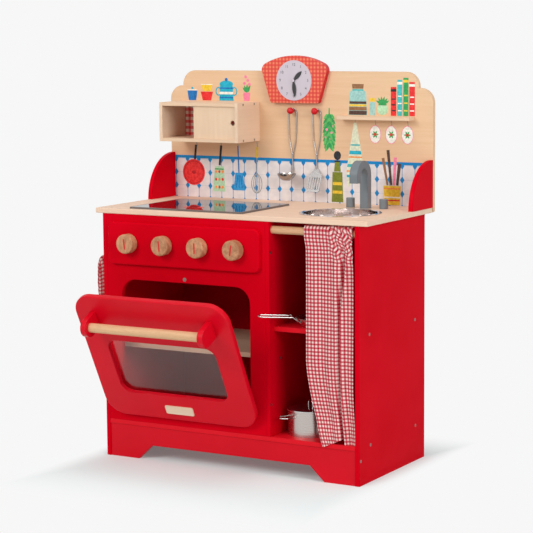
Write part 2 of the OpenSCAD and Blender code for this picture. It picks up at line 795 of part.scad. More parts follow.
// A leaf-shaped hand of a length and a width, turned clockwise from straight up.
module hand(l, w, turn, f) color([0.03, 0.03, 0.03]) at(0, f + hand_t, dial_z) facing()
  rotate([0, 0, -turn]) linear_extrude(hand_t) difference() {
    union() {
      intersection_for(s = [-1, 1]) translate([s * (l * l / w - w) / 4, l / 2])
        circle((l * l / w + w) / 4, $fn = 96);
      circle(3.2, $fn = 32);
    }
    circle(pin_d / 2 + fit, $fn = 24);
  }

module hour_hand() hand(hour_l, 8.5, 45, hour_f);

module minute_hand() hand(minute_l, 8, 174, minute_f);

module knob_spindles(g = 0) color([0.75, 0.6, 0.45]) for (x = [-knob_out, -knob_in, knob_in, knob_out])
  at(oven_x + x, board_t + g, plate_z + plate_h / 2 + 1) into_front()
    cylinder(d = spindle_d + 2 * g, h = board_t + plate_t + knob_t * 0.6, $fn = 32);

module knob(x) color([0.8, 0.62, 0.42])
  at(oven_x + x, -plate_t - apart, plate_z + plate_h / 2 + 1) into_front() difference() {
    rotate_extrude($fn = 72) edge_section(knob_d / 2, knob_t, 2.5, true);
    translate([0, 0, -1]) cylinder(d = spindle_d + 2 * fit, h = knob_t * 0.6 + 1.5, $fn = 32);
  }

module knob_1() knob(-knob_out);

module knob_2() knob(-knob_in);

module knob_3() knob(knob_in);

module knob_4() knob(knob_out);

// Puts the pieces of the closed door, drawn from its lower back edge, at the ajar angle.
module on_door() at(oven_x, -door_gap / 2, door_z) rotate([door_ajar, 0, 0])
  translate([0, -door_gap / 2, 0]) children();

module door_panel() color([0.82, 0.02, 0.1]) on_door() difference() {
  translate([0, 0, door_h / 2]) facing() soft_slab(door_w, door_h, door_t, door_r, edge_r, true);
  translate([0, 1, window_low + window_h / 2]) facing() linear_extrude(door_t + 2)
    round_rect(window_w, window_h, window_r);
  translate([0, 1, window_low + window_h / 2]) facing() linear_extrude(1 + pane_t + 0.4)
    round_rect(window_w + 12, window_h + 12, window_r + 6);
  translate([0, 1, catch_s]) into_front() cylinder(d = magnet_d + 2 + 2 * fit, h = 3 + fit);
  for (s = [-1, 1]) translate([s * hinge_out, 0, 0]) {
    translate([-hinge_w / 2 - fit, -leaf_t - fit, -1])
      cube([hinge_w + 2 * fit, leaf_t + 1, leaf_h + 1 + fit]);
    translate([-hinge_w / 2 - fit, door_gap / 2, 0]) into_right()
      cylinder(r = knuckle_r + 0.4, h = hinge_w + 2 * fit, $fn = 32);
  }
  door_screw_set(true);
}

module door_window() color([0.25, 0.24, 0.25, 0.5]) on_door()
  translate([0, -0.4, window_low + window_h / 2]) facing() linear_extrude(pane_t)
    round_rect(window_w + 12 - 2 * fit, window_h + 12 - 2 * fit, window_r + 6 - fit);

module door_handle_bar() color([0.87, 0.68, 0.45]) on_door()
  translate([-bar_l / 2 - bar_hold, -door_t - bar_out, handle_s]) into_right()
    cylinder(d = bar_d, h = bar_l + 2 * bar_hold);

module door_handle_brackets() color([0.82, 0.02, 0.1]) on_door() difference() {
  for (s = [-1, 1]) translate([s * (bar_l + bracket_t) / 2 - bracket_t / 2, -door_t, handle_s])
    along_x(bracket_t) {
      translate([-bar_out, -bracket_h / 2]) square([bar_out, bracket_h]);
      translate([-bar_out, 0]) circle(bracket_h / 2, $fn = 72);
    }
  translate([-bar_l / 2 - bar_hold - fit, -door_t - bar_out, handle_s]) into_right()
    cylinder(d = bar_d + 2 * fit, h = bar_l + 2 * bar_hold + 2 * fit);
  door_screw_set(true);
}

module door_badge() color([0.93, 0.85, 0.72]) on_door()
  translate([0, -door_t, badge_up + badge_h / 2]) facing() linear_extrude(badge_t)
    round_rect(badge_w, badge_h, 3);

module door_strike_disc() color([0.7, 0.71, 0.73]) on_door() translate([0, 0, catch_s])
  into_front() cylinder(d = magnet_d + 2, h = 2);

module door_magnet() color([0.6, 0.61, 0.63]) at(oven_x, 0, door_z + catch_s) into_back()
  cylinder(d = magnet_d, h = 7);

// The hinges: the fixed leaves carry the two outer knuckles and the door leaves the middle one.
module knuckle(a, b, g = 0) translate([a, 0, 0]) into_right() difference() {
  cylinder(r = knuckle_r, h = b - a, $fn = 32);
  translate([0, 0, -1]) cylinder(d = hinge_pin_d + 2 * fit, h = b - a + 2, $fn = 24);
}

third = hinge_w / 6;

module leaf_screws_fixed(hole = false) for (s = [-1, 1], x = [-10, 10])
  at(oven_x + s * hinge_out + x, 0, door_z + leaf_h * 0.68) into_back() screw(6.5, 3.6, 1.8, hole);

module hinge_fixed_leaves() color([0.65, 0.65, 0.67]) at(oven_x, 0, door_z) for (s = [-1, 1])
  translate([s * hinge_out, 0, 0]) {
    difference() {
      translate([-hinge_w / 2, 0, 0]) cube([hinge_w, leaf_t, leaf_h]);
      translate([-third - 0.4, -door_gap / 2, 0]) into_right()
        cylinder(r = knuckle_r + 0.4, h = 2 * third + 0.8, $fn = 32);
      for (q = [-1, 1]) translate([q * (hinge_w + third * 2) / 4 - (hinge_w - 2 * third) / 4,
        -door_gap / 2, 0]) into_right()
        cylinder(d = hinge_pin_d + 2 * fit, h = (hinge_w - 2 * third) / 2, $fn = 24);
      for (x = [-10, 10]) translate([x, 0, leaf_h * 0.68]) into_back() screw(6.5, 3.6, 1.8, true);
    }
    translate([0, -door_gap / 2, 0]) {
      knuckle(-hinge_w / 2, -third - 0.4);
      knuckle(third + 0.4, hinge_w / 2);
    }
  }

module hinge_door_leaves() color([0.65, 0.65, 0.67]) on_door() for (s = [-1, 1])
  translate([s * hinge_out, 0, 0]) {
    difference() {
      translate([-hinge_w / 2, -leaf_t, 0]) cube([hinge_w, leaf_t, leaf_h]);
      for (q = [0, 1]) translate([q == 0 ? -hinge_w / 2 - 1 : third - 0.05, door_gap / 2, 0])
        into_right() cylinder(r = knuckle_r + 0.4, h = hinge_w / 2 - third + 1.05, $fn = 32);
      translate([-hinge_w / 2 - 1, door_gap / 2, 0]) into_right()
        cylinder(d = hinge_pin_d + 2 * fit, h = hinge_w + 2, $fn = 24);
      for (x = [-10, 10]) translate([x, 0, leaf_h * 0.68]) into_front() screw(6.5, 3.6, 1.8, true);
    }
    translate([0, door_gap / 2, 0]) knuckle(-third, third);
  }

module hinge_pins() color([0.55, 0.55, 0.57]) at(oven_x, -door_gap / 2, door_z) for (s = [-1, 1])
  translate([s * hinge_out - hinge_w / 2, 0, 0]) into_right()
    cylinder(d = hinge_pin_d, h = hinge_w, $fn = 24);

module door_screw_set(hole = false) {
  for (s = [-1, 1], z = [-9, 9]) translate([s * (bar_l + bracket_t) / 2, 0, handle_s + z])
    into_front() screw(screw_l, head_d, shank_d, hole);
  for (s = [-1, 1], x = [-10, 10]) translate([s * hinge_out + x, 0, leaf_h * 0.68])
    into_front() screw(6.5, 3.6, 1.8, hole);
}

module door_screws() color([0.7, 0.7, 0.72]) on_door() door_screw_set();

module curtain_rod() color([0.87, 0.68, 0.45]) at(div_r - rod_hold, rod_back, rod_z)
  into_right() cylinder(d = rod_d, h = bay_w + 2 * rod_hold);

module screws() color([0.72, 0.7, 0.66]) {
  right_screws();
  left_screws();
  divider_screws();
  panel_screws();
  worktop_screws();
  cheek_screws();
  cupboard_back_screws();
  cupboard_end_screws();
  shelf_screws();
  clock_screws();
  leaf_screws_fixed();
}

module worktop_dowels() color([0.85, 0.7, 0.5]) dowels();

// A ball where wires meet or turn.
module bead(r) rotate_extrude($fn = 32) intersection() {
  circle(r);
  translate([0, -2 * r]) square([2 * r, 4 * r]);
}

// A wire loop that hangs over a peg, its two strands meeting in a bead with one stem below.
module wire_loop(x) {
  gap = wire_d / 2 + 0.02;
  slope = 2.5;
  bend = 10;
  upper = 0.65 * loop_l;
  lower = (loop_r * cos(slope) - upper * sin(slope) - gap) / sin(slope + bend);
  meet = (loop_r - lower * sin(bend)) * sin(slope) + (upper + lower * cos(bend)) * cos(slope) + 0.3;
  at(x, hang_f, loop_z) facing() {
    rotate([0, 0, -slope]) rotate_extrude(angle = 180 + 2 * slope)
      translate([loop_r, 0]) circle(d = wire_d, $fn = 20);
    for (m = [0, 1]) mirror([m, 0, 0]) rotate([0, 0, -slope]) translate([loop_r, 0, 0]) {
      rotate([90, 0, 0]) cylinder(d = wire_d, h = upper, $fn = 20);
      translate([0, -upper, 0]) {
        bead(wire_d / 2 + 0.15);
        rotate([0, 0, -bend]) rotate([90, 0, 0]) cylinder(d = wire_d, h = lower, $fn = 20);
      }
    }
    translate([0, -meet, 0]) rotate([90, 0, 0]) {
      bead(wire_d / 2 + 1.2);
      cylinder(d = wire_d * 1.45, h = loop_l + stem_l - meet + 0.5, $fn = 24);
    }
  }
}

stem_z = loop_z - loop_l - stem_l;

module ladle() color([0.75, 0.76, 0.78]) {
  rim = stem_z - 7;
  big = (ladle_r * ladle_r + ladle_deep * ladle_deep) / (2 * ladle_deep);
  wire_loop(peg_left);
  at(peg_left, hang_f - 7 - ladle_r, rim) rotate_extrude($fn = 72) intersection() {
    translate([0, big - ladle_deep]) difference() {
      circle(big, $fn = 96);
      circle(big - 1, $fn = 96);
    }
    translate([0, -ladle_deep - 1]) square([ladle_r + 2, ladle_deep + 1]);
  }
  at(peg_left - wire_d, hang_f, stem_z) along_x(2 * wire_d) polygon([[-0.7, 3], [0.7, 3],
    [0.7, -1], [-6.4, -9.4], [-8, -9.4], [-8, -7.4], [-0.7, -0.4]]);
}

module turner() color([0.75, 0.76, 0.78]) {
  wire_loop(peg_right);
  at(peg_right, hang_f, stem_z + 2) rotate([-turner_lean, 0, 0]) translate([0, 0.6, 0]) facing()
    linear_extrude(1.2) difference() {
      union() {
        translate([0, -turner_l / 2 - 8]) round_rect(turner_w, turner_l - 6, 3);
        polygon([[-3, 1], [3, 1], [turner_w / 2 - 3, -12], [-turner_w / 2 + 3, -12]]);
      }
      for (i = [-2 : 2]) translate([i * turner_w / 5.6, -turner_l / 2 - 9]) {
        square([turner_w / 11, turner_l - 20], center = true);
        for (q = [-1, 1]) translate([0, q * (turner_l / 2 - 10)])
          circle(d = turner_w / 11, $fn = 16);
      }
    }
}

module pan_section(g) polygon([[0, 0], [pan_r * 0.84 + g, 0], [pan_r + g, pan_h],
  [0, pan_h]]);

module pan() color([0.72, 0.73, 0.75]) at(pan_x, pan_back, pan_z) rotate_extrude($fn = 96)
  difference() {
    union() {
      pan_section(0);
      translate([0, pan_h - 1]) square([pan_r + 1, 1]);
    }
    translate([0, pan_wall]) pan_section(-pan_wall);
  }

// The pan's handle is one wire, bent into a loop at its tip and down to the wall at both ends.
module pan_handle() color([0.75, 0.76, 0.78]) at(pan_x, pan_back, pan_z) difference() {
  lean = 4;
  roll = 10;
  bend = 34.5;
  side = 7;
  rotate([0, 0, -pan_turn]) translate([0, -pan_r - pan_grip, pan_h + 8]) rotate([-lean, 0, 0])
    rotate([0, roll, 0]) {
      rotate([0, 0, 180]) rotate_extrude(angle = 180)
        translate([side, 0]) circle(d = 2.6, $fn = 20);
      for (x = [-side, side]) translate([x, 0, 0]) {
        rotate([-90, 0, 0]) cylinder(d = 2.6, h = pan_grip - 10.9, $fn = 20);
        translate([0, pan_grip - 10.9, 0]) {
          bead(1.5);
          rotate([-90 - bend, 0, 0]) cylinder(d = 2.6, h = 26, $fn = 20);
        }
      }
    }
  rotate_extrude($fn = 96) pan_section(fit);
  translate([0, 0, pan_h - 1 - fit]) cylinder(r = pan_r + 1 + fit, h = 1 + 2 * fit, $fn = 96);
}

module pot() color([0.72, 0.73, 0.75]) at(pot_x, pot_back, base_top) rotate_extrude($fn = 96)
  difference() {
    union() {
      square([pot_r, pot_h]);
      translate([0, pot_h - 1.2]) square([pot_r + 2, 1.2]);
    }
    translate([0, pan_wall]) square([pot_r - pan_wall, pot_h]);
  }

module pot_handles() color([0.75, 0.76, 0.78]) at(pot_x, pot_back, base_top + pot_h - 12)
  difference() {
    for (s = [0, 180]) rotate([0, 0, s + pot_turn]) {
      for (q = [-1, 1]) rod([-pot_r + 4, q * 12, 0], [-pot_r - 13, q * 12, 0], 2.6);
      translate([-pot_r - 13, 0, 0]) rotate([0, 0, 90]) rotate_extrude(angle = 180)
        translate([12, 0]) circle(d = 2.6, $fn = 20);
    }
    translate([0, 0, -5]) cylinder(r = pot_r + fit, h = 10, $fn = 96);
  }

module pot_lid() color([0.3, 0.3, 0.32]) at(pot_x, pot_back, rim_z) {
  rotate_extrude($fn = 96) {
    square([pot_r + 1.5, 1.2]);
    translate([0, 1.2]) polygon([[0, -0.5], [pot_r - 3, -0.5], [pot_r * 0.8, 1.6],
      [pot_r * 0.4, 2.8], [0, 3.2]]);
    translate([0, -2.5]) square([pot_r - pan_wall - 0.5, 3]);
  }
  rotate([0, 0, -35]) {
    for (s = [-1, 1]) rod([s * 9, 0, 3], [s * 9, 0, 8], 2.6);
    translate([0, 0, 8]) rotate([90, 0, 0]) rotate_extrude(angle = 180)
      translate([9, 0]) circle(d = 2.6, $fn = 20);
  }
}

// The curtain: a strip of cloth behind and over the rod, then down in folds.
cols = 34;
rows = 15;
over = (rod_d / 2 + 0.35) / cos(18) + cloth_t / 2;
curtain_r = in_r - 6;

function smooth(t) = let (c = min(1, max(0, t))) c * c * (3 - 2 * c);

function hem(u) = curtain_low + (u < 0.5 ? 22 * smooth(u / 0.5) : 8 + 14 * (1 - smooth((u - 0.5) / 0.1)));

function left_edge(z) = curtain_r - curtain_w
  + 38 * pow(min(1, max(0, (curtain_low + 161 - z) / 161)), 1.5);

function right_edge(z) = curtain_r + 4.5 * smooth((base_top + 115 - z) / 110);

// The deep crease between the wide left part and the narrow right part.
function crease(z) = 0.6 + 0.11 * smooth((z - base_top + 5) / 150);

function folds(u, z) = let (a = smooth((rod_z - z) / 70), c = u - crease(z))
  fold * a * (0.5 * sin(360 * 1.9 * u + 40 + 20 * sin(z * 0.7)) + 0.2 * sin(360 * 4.3 * u + z * 0.5)
    - 1.5 * exp(-pow(c / 0.05, 2)) + 0.8 * exp(-pow((c - 0.14) / 0.08, 2)));

function drape(u, z) = 7 * smooth((base_top + 55 - z) / 50) * smooth((0.75 - u) / 0.35);

// One point of the cloth's middle, with the direction of its outside.
function cloth(u, j) = j < 2 ? [rod_back + over, rod_z - 7 * (2 - j) / 2, 1, 0]
  : j < 7 ? let (t = 180 * (j - 2) / 5) [rod_back + over * cos(t), rod_z + over * sin(t), cos(t), sin(t)]
  : let (z = rod_z + (hem(u) - rod_z) * pow((j - 7) / (rows - 7), 0.9))
    [rod_back - over - folds(u, z) - drape(u, z), z, -1, 0];

function cloth_point(i, j, side) = let (u = i / cols, p = cloth(u, j))
  [left_edge(p[1]) + u * (right_edge(p[1]) - left_edge(p[1])),
   y_front + p[0] + side * p[2] * cloth_t / 2, p[1] + side * p[3] * cloth_t / 2];

module curtain() color([0.85, 0.35, 0.4]) {
  n = (cols + 1) * (rows + 1);
  points = [for (side = [1, -1], j = [0 : rows], i = [0 : cols]) cloth_point(i, j, side)];
  outer = [for (j = [0 : rows - 1], i = [0 : cols - 1]) let (a = j * (cols + 1) + i)
    each [[a, a + cols + 1, a + cols + 2], [a, a + cols + 2, a + 1]]];
  inner = [for (f = outer) [f[2] + n, f[1] + n, f[0] + n]];
  edge = concat([for (i = [0 : cols - 1]) [i, i + 1]],
    [for (j = [0 : rows - 1]) [j * (cols + 1) + cols, (j + 1) * (cols + 1) + cols]],
    [for (i = [cols - 1 : -1 : 0]) [rows * (cols + 1) + i + 1, rows * (cols + 1) + i]],
    [for (j = [rows - 1 : -1 : 0]) [(j + 1) * (cols + 1), j * (cols + 1)]]);
  rim = [for (e = edge) each [[e[0], e[1], e[1] + n], [e[0], e[1] + n, e[0] + n]]];
  polyhedron(points, concat(outer, inner, rim), convexity = 8);
}

// The padded mitt, hung by a loop on a peg of the left side panel.
peg_pin_d = 6;
peg_hold = board_t * 0.6;
mitt_hang_f = mitt_back + mitt_w / 2;
mitt_hang_z = mitt_top + 8.8 - peg_pin_d / 2;
spokes = 60;
rings = [0, 0.3, 0.55, 0.74, 0.87, 0.95, 0.99, 1];

function mitt_edge(a) = let (c = abs(cos(a)), s = abs(sin(a)), n = a < 180 ? 3.4 : 2.3)
  pow(pow(c / (mitt_w / 2 - 11), n) + pow(s / (mitt_h / 2), n), -1 / n)
  + 27 * exp(-pow((a - 337) / 13, 2)) - 7 * exp(-pow((a - 309) / 12, 2));

mitt_mid_f = mitt_hang_f - 11;
mitt_mid_z = mitt_top - mitt_h / 2;
mitt_x = -cabinet_w / 2 - apart - mitt_t / 2;
last = len(rings) - 1;
back_start = 1 + last * spokes;

function mitt_spot(k, i, side) = let (a = 360 * i / spokes, r = rings[k],
  e = mitt_edge(a),
  t = mitt_t / 2 * pow(max(0, 1 - pow(r, 5)), 0.5))
  [mitt_x - side * t, y_front + mitt_mid_f + r * e * cos(a), mitt_mid_z + r * e * sin(a)];

function mitt_up(k, i) = 1 + (k - 1) * spokes + i % spokes;

function mitt_dn(k, i) = k == last ? mitt_up(last, i)
  : back_start + 1 + (k - 1) * spokes + i % spokes;

module mitt() color([0.85, 0.35, 0.4]) {
  outside = [for (k = [1 : last], i = [0 : spokes - 1]) mitt_spot(k, i, 1)];
  inside = [for (k = [1 : last - 1], i = [0 : spokes - 1]) mitt_spot(k, i, -1)];
  points = concat([mitt_spot(0, 0, 1)], outside, [mitt_spot(0, 0, -1)], inside);
  faces = concat(
    [for (i = [0 : spokes - 1]) [0, mitt_up(1, i), mitt_up(1, i + 1)]],
    [for (k = [1 : last - 1], i = [0 : spokes - 1]) each [
      [mitt_up(k, i), mitt_up(k + 1, i), mitt_up(k + 1, i + 1)],
      [mitt_up(k, i), mitt_up(k + 1, i + 1), mitt_up(k, i + 1)]]],
    [for (i = [0 : spokes - 1]) [back_start, mitt_dn(1, i + 1), mitt_dn(1, i)]],
    [for (k = [1 : last - 1], i = [0 : spokes - 1]) each [
      [mitt_dn(k, i), mitt_dn(k + 1, i + 1), mitt_dn(k + 1, i)],
      [mitt_dn(k, i), mitt_dn(k, i + 1), mitt_dn(k + 1, i + 1)]]]);
  polyhedron(points, faces, convexity = 6);
  at(mitt_x, mitt_hang_f, mitt_top + 2) into_right()
    rotate_extrude($fn = 32) translate([8, 0]) circle(d = 2.2, $fn = 12);
}

module mitt_peg() color([0.87, 0.68, 0.45]) at(-cabinet_w / 2 - mitt_t, mitt_hang_f, mitt_hang_z)
  into_right() cylinder(d = peg_pin_d, h = mitt_t + peg_hold, $fn = 24);

left_side_panel();
right_side_panel();
divider_panel();
base_board();
cabinet_back_panel();
kick_board();
front_panel();
control_plate();
compartment_shelf();
oven_shelf();
worktop();
cooktop();
sink_bowl();
tap_spout();
hot_tap();
cold_tap();
tap_pins();
backboard();
cheeks();
cupboard_top();
cupboard_bottom();
cupboard_ends();
cupboard_door();
wall_shelf();
utensil_pegs();
clock_body();
clock_dial();
clock_pin();
hour_hand();
minute_hand();
knob_1();
knob_2();
knob_3();
knob_4();
knob_spindles();
door_panel();
door_window();
door_handle_bar();
door_handle_brackets();
door_badge();
door_strike_disc();
door_magnet();
hinge_fixed_leaves();
hinge_door_leaves();
hinge_pins();
door_screws();
curtain_rod();
curtain();
screws();
worktop_dowels();
pan();
pan_handle();
pot();
pot_handles();
pot_lid();
ladle();
turner();
mitt();
mitt_peg();
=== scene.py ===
import math

import bpy
import numpy as np
from mathutils import Matrix, Vector


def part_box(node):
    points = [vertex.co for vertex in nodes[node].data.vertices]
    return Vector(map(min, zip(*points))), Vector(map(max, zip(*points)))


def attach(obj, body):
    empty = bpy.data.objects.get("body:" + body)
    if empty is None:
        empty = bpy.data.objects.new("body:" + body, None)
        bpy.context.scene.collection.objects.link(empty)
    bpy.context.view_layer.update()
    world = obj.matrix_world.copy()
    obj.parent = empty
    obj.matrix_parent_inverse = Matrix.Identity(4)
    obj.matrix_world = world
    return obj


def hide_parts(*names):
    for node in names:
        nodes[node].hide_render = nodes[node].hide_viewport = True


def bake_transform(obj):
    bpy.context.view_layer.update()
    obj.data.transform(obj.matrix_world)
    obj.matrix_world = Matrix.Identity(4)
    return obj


# %% [markdown]
# # A wooden toy kitchen
# This lesson dresses a toy kitchen whose boards, joints and fittings already exist as solids.
# Every solid comes in at its real place, in metres, with the floor at z = 0 and the front
# facing -Y. We only choose how it looks: paint, wood, metal, cloth, light and camera.

# %% Load the kitchen
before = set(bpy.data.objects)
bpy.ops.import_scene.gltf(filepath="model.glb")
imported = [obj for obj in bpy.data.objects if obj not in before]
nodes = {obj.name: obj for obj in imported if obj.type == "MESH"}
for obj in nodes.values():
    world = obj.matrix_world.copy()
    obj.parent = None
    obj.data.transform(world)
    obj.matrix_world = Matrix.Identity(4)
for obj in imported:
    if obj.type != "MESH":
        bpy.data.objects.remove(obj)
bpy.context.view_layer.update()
front_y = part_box("front_panel")[0][1]
print("nodes:", len(nodes), "front plane at y =", round(front_y, 4))

# %% [markdown]
# ## The camera
# The picture was taken from the front right, a little above the worktop, with a long lens.
# The camera is placed by an angle round the object and a distance, and its own axes are
# written out, so a slight roll of the picture can be kept.

# %% Camera
AZIMUTH, ELEVATION, ROLL = (math.radians(v) for v in (29.985, 7.473, -0.478))
TARGET = Vector((0.014, 0.0619, 0.381))
DISTANCE = 3.6934
FOCAL_PIXELS, PICTURE_PIXELS, SENSOR_MM = 1891.4, 533, 36
back = Vector((math.sin(AZIMUTH) * math.cos(ELEVATION),
               -math.cos(AZIMUTH) * math.cos(ELEVATION), math.sin(ELEVATION)))
right = Vector((math.cos(AZIMUTH), math.sin(AZIMUTH), 0))
up = back.cross(right)
right_rolled = math.cos(ROLL) * right + math.sin(ROLL) * up
up_rolled = math.cos(ROLL) * up - math.sin(ROLL) * right

bpy.ops.object.camera_add()
camera = bpy.context.object
camera.data.lens = FOCAL_PIXELS / PICTURE_PIXELS * SENSOR_MM
camera.data.clip_end = 50
turn = Matrix((right_rolled, up_rolled, back)).transposed()
camera.matrix_world = Matrix.Translation(TARGET + back * DISTANCE) @ turn.to_4x4()
bpy.context.scene.camera = camera
print("lens", round(camera.data.lens, 1), "mm")

# %% [markdown]
# ## Floor, backdrop and light
# The kitchen stands on a pale studio floor that runs into a pale background. Light that comes
# from everywhere would look flat, so a weak overall light is joined by a large lamp from the
# upper left, a slightly weaker one from the right and a third from above. The floor glows a
# little for the camera and in reflections, more so further from the toy, which keeps it pale
# without putting more light on the toy, and lets the shadow under it show. Its own colour
# leans away from red, because the red toy throws a pink light on it.

# %% Light
PALE = 0.93
scene = bpy.context.scene
scene.view_settings.view_transform = "Standard"


def link(tree, a, b):
    tree.links.new(a, b)


def add(tree, kind, **values):
    """Adds a node and sets its properties or, by name, its inputs."""
    node = tree.nodes.new(kind)
    for name, value in values.items():
        if hasattr(node, name):
            setattr(node, name, value)
        else:
            node.inputs[name.replace("_", " ")].default_value = value
    return node


def math_node(tree, operation, a, b=None, clamp=False):
    """A Math node of two values, each a socket or a number."""
    node = add(tree, "ShaderNodeMath", operation=operation, use_clamp=clamp)
    for socket, value in zip(node.inputs, (a, b)):
        if value is None:
            continue
        if isinstance(value, bpy.types.NodeSocket):
            tree.links.new(value, socket)
        else:
            socket.default_value = value
    return node.outputs[0]


def plus(tree, a, b, clamp=False):
    return math_node(tree, "ADD", a, b, clamp)


def minus(tree, a, b):
    return math_node(tree, "SUBTRACT", a, b)


def times(tree, a, b):
    return math_node(tree, "MULTIPLY", a, b)


def unsigned(tree, a):
    return math_node(tree, "ABSOLUTE", a)


def axes(tree, vector):
    """The X, Y and Z sockets of a vector."""
    node = add(tree, "ShaderNodeSeparateXYZ")
    link(tree, vector, node.inputs[0])
    return node.outputs


def background_rays(tree):
    """1 for rays from the camera, from glossy surfaces and through glass."""
    path = add(tree, "ShaderNodeLightPath")
    seen = math_node(tree, "MAXIMUM", path.outputs["Is Camera Ray"], path.outputs["Is Glossy Ray"])
    return math_node(tree, "MAXIMUM", seen, path.outputs["Is Transmission Ray"])


world = bpy.data.worlds.new("studio")
scene.world = world
world.use_nodes = True
tree = world.node_tree
tree.nodes.clear()
soft = add(tree, "ShaderNodeBackground", Color=(1, 0.985, 0.97, 1), Strength=0.36)
pale = add(tree, "ShaderNodeBackground", Color=(PALE, PALE, PALE, 1), Strength=1.0)
mix = add(tree, "ShaderNodeMixShader")
link(tree, background_rays(tree), mix.inputs[0])
link(tree, soft.outputs[0], mix.inputs[1])
link(tree, pale.outputs[0], mix.inputs[2])
link(tree, mix.outputs[0], add(tree, "ShaderNodeOutputWorld").inputs[0])


def lamp(name, place, aim, size, power):
    bpy.ops.object.light_add(type="AREA", location=place)
    light = bpy.context.object
    light.name = name
    light.data.size = size
    light.data.energy = power
    light.rotation_euler = (Vector(aim) - Vector(place)).to_track_quat("-Z", "Y").to_euler()
    print(name, "at", place, "with", power, "W")


LAMP_AIM = (0, 0, 0.4)
lamp("key_lamp", (-1.0, -3.2, 2.2), LAMP_AIM, 1.5, 56)
lamp("fill_lamp", (3.0, -1.3, 1.6), LAMP_AIM, 1.5, 46)
lamp("top_lamp", (0.2, -0.4, 3.0), LAMP_AIM, 1.6, 20)

# %% [markdown]
# The floor is a plain plane. How much it glows follows the distance from the toy's sides, its
# front and its back. It could be a painted mask, but two differences and a smooth step are
# enough, and they are easy to change.

# %% Floor
FLOOR_SIZE = 30
SIDE_START, SIDE_RATE, DEPTH_START = 0.275, 3.5, 0.20
bpy.ops.mesh.primitive_plane_add(size=FLOOR_SIZE)
floor = bpy.context.object
floor.name = "studio_floor"
floor_paint = bpy.data.materials.new("studio_floor")
floor_paint.use_nodes = True
tree = floor_paint.node_tree
tree.nodes.clear()
white = add(tree, "ShaderNodeBsdfDiffuse", Color=(0.83, 0.95, 0.95, 1))
glow = add(tree, "ShaderNodeEmission", Color=(PALE, PALE, PALE, 1), Strength=1.0)
mix = add(tree, "ShaderNodeMixShader")
where = axes(tree, add(tree, "ShaderNodeTexCoord").outputs["Object"])
beside = times(tree, minus(tree, unsigned(tree, where[0]), SIDE_START), SIDE_RATE)
before = minus(tree, unsigned(tree, where[1]), DEPTH_START)
fade = add(tree, "ShaderNodeMapRange", interpolation_type="SMOOTHSTEP",
           From_Min=-0.03, From_Max=0.2, To_Min=0.15, To_Max=1.0)
link(tree, math_node(tree, "MAXIMUM", beside, before), fade.inputs[0])
link(tree, times(tree, background_rays(tree), fade.outputs[0]), mix.inputs[0])
link(tree, white.outputs[0], mix.inputs[1])
link(tree, glow.outputs[0], mix.inputs[2])
link(tree, mix.outputs[0], add(tree, "ShaderNodeOutputMaterial").inputs[0])
floor.data.materials.append(floor_paint)
print("floor:", FLOOR_SIZE, "m wide, glow from", SIDE_START, "m beside the middle")

# %% [markdown]
# ## Shared effects as node groups
# Wood grain, paint, gingham and brushed metal are each used by several finishes. Each is a
# node group with named inputs and outputs, built once. The shader itself stays in the
# material, where its roughness and gloss can be read at a glance.

# %% A helper for groups and materials
def group(name, inputs, outputs):
    """An empty shader group with its sockets. Returns the tree, the inputs and the outputs."""
    tree = bpy.data.node_groups.new(name, "ShaderNodeTree")
    kinds = {"v": "NodeSocketVector", "c": "NodeSocketColor", "f": "NodeSocketFloat"}
    for label, kind, value in inputs:
        socket = tree.interface.new_socket(label, in_out="INPUT", socket_type=kinds[kind])
        if value is not None:
            socket.default_value = value
    for label, kind in outputs:
        tree.interface.new_socket(label, in_out="OUTPUT", socket_type=kinds[kind])
    inside = tree.nodes.new("NodeGroupInput").outputs
    outside = tree.nodes.new("NodeGroupOutput").inputs
    return tree, inside, outside


def noise(tree, vector, scale, detail=3.0, roughness=0.5):
    node = add(tree, "ShaderNodeTexNoise", Scale=scale, Detail=detail, Roughness=roughness)
    link(tree, vector, node.inputs["Vector"])
    return node.outputs["Fac"]


def stretch(tree, vector, scale):
    node = add(tree, "ShaderNodeVectorMath", operation="MULTIPLY")
    link(tree, vector, node.inputs[0])
    node.inputs[1].default_value = scale
    return node.outputs[0]


def remap(tree, value, low, high, to_low, to_high):
    node = add(tree, "ShaderNodeMapRange")
    link(tree, value, node.inputs[0])
    for i, v in enumerate((low, high, to_low, to_high)):
        node.inputs[i + 1].default_value = v
    return node.outputs[0]


def blend(tree, factor, a, b, kind="MIX"):
    """Mixes two colours, each a socket or a tuple."""
    node = add(tree, "ShaderNodeMix", data_type="RGBA", blend_type=kind)
    for socket, value in zip((node.inputs[0], node.inputs[6], node.inputs[7]), (factor, a, b)):
        if isinstance(value, bpy.types.NodeSocket):
            tree.links.new(value, socket)
        else:
            socket.default_value = value
    return node.outputs[2]


# %% [markdown]
# Plywood and beech show long streaks, slow bands and short dark pores along the board. A
# photograph of wood would need a file and would repeat. Noise stretched along X makes all
# three, at any size, and the same streaks also give the roughness and the height.

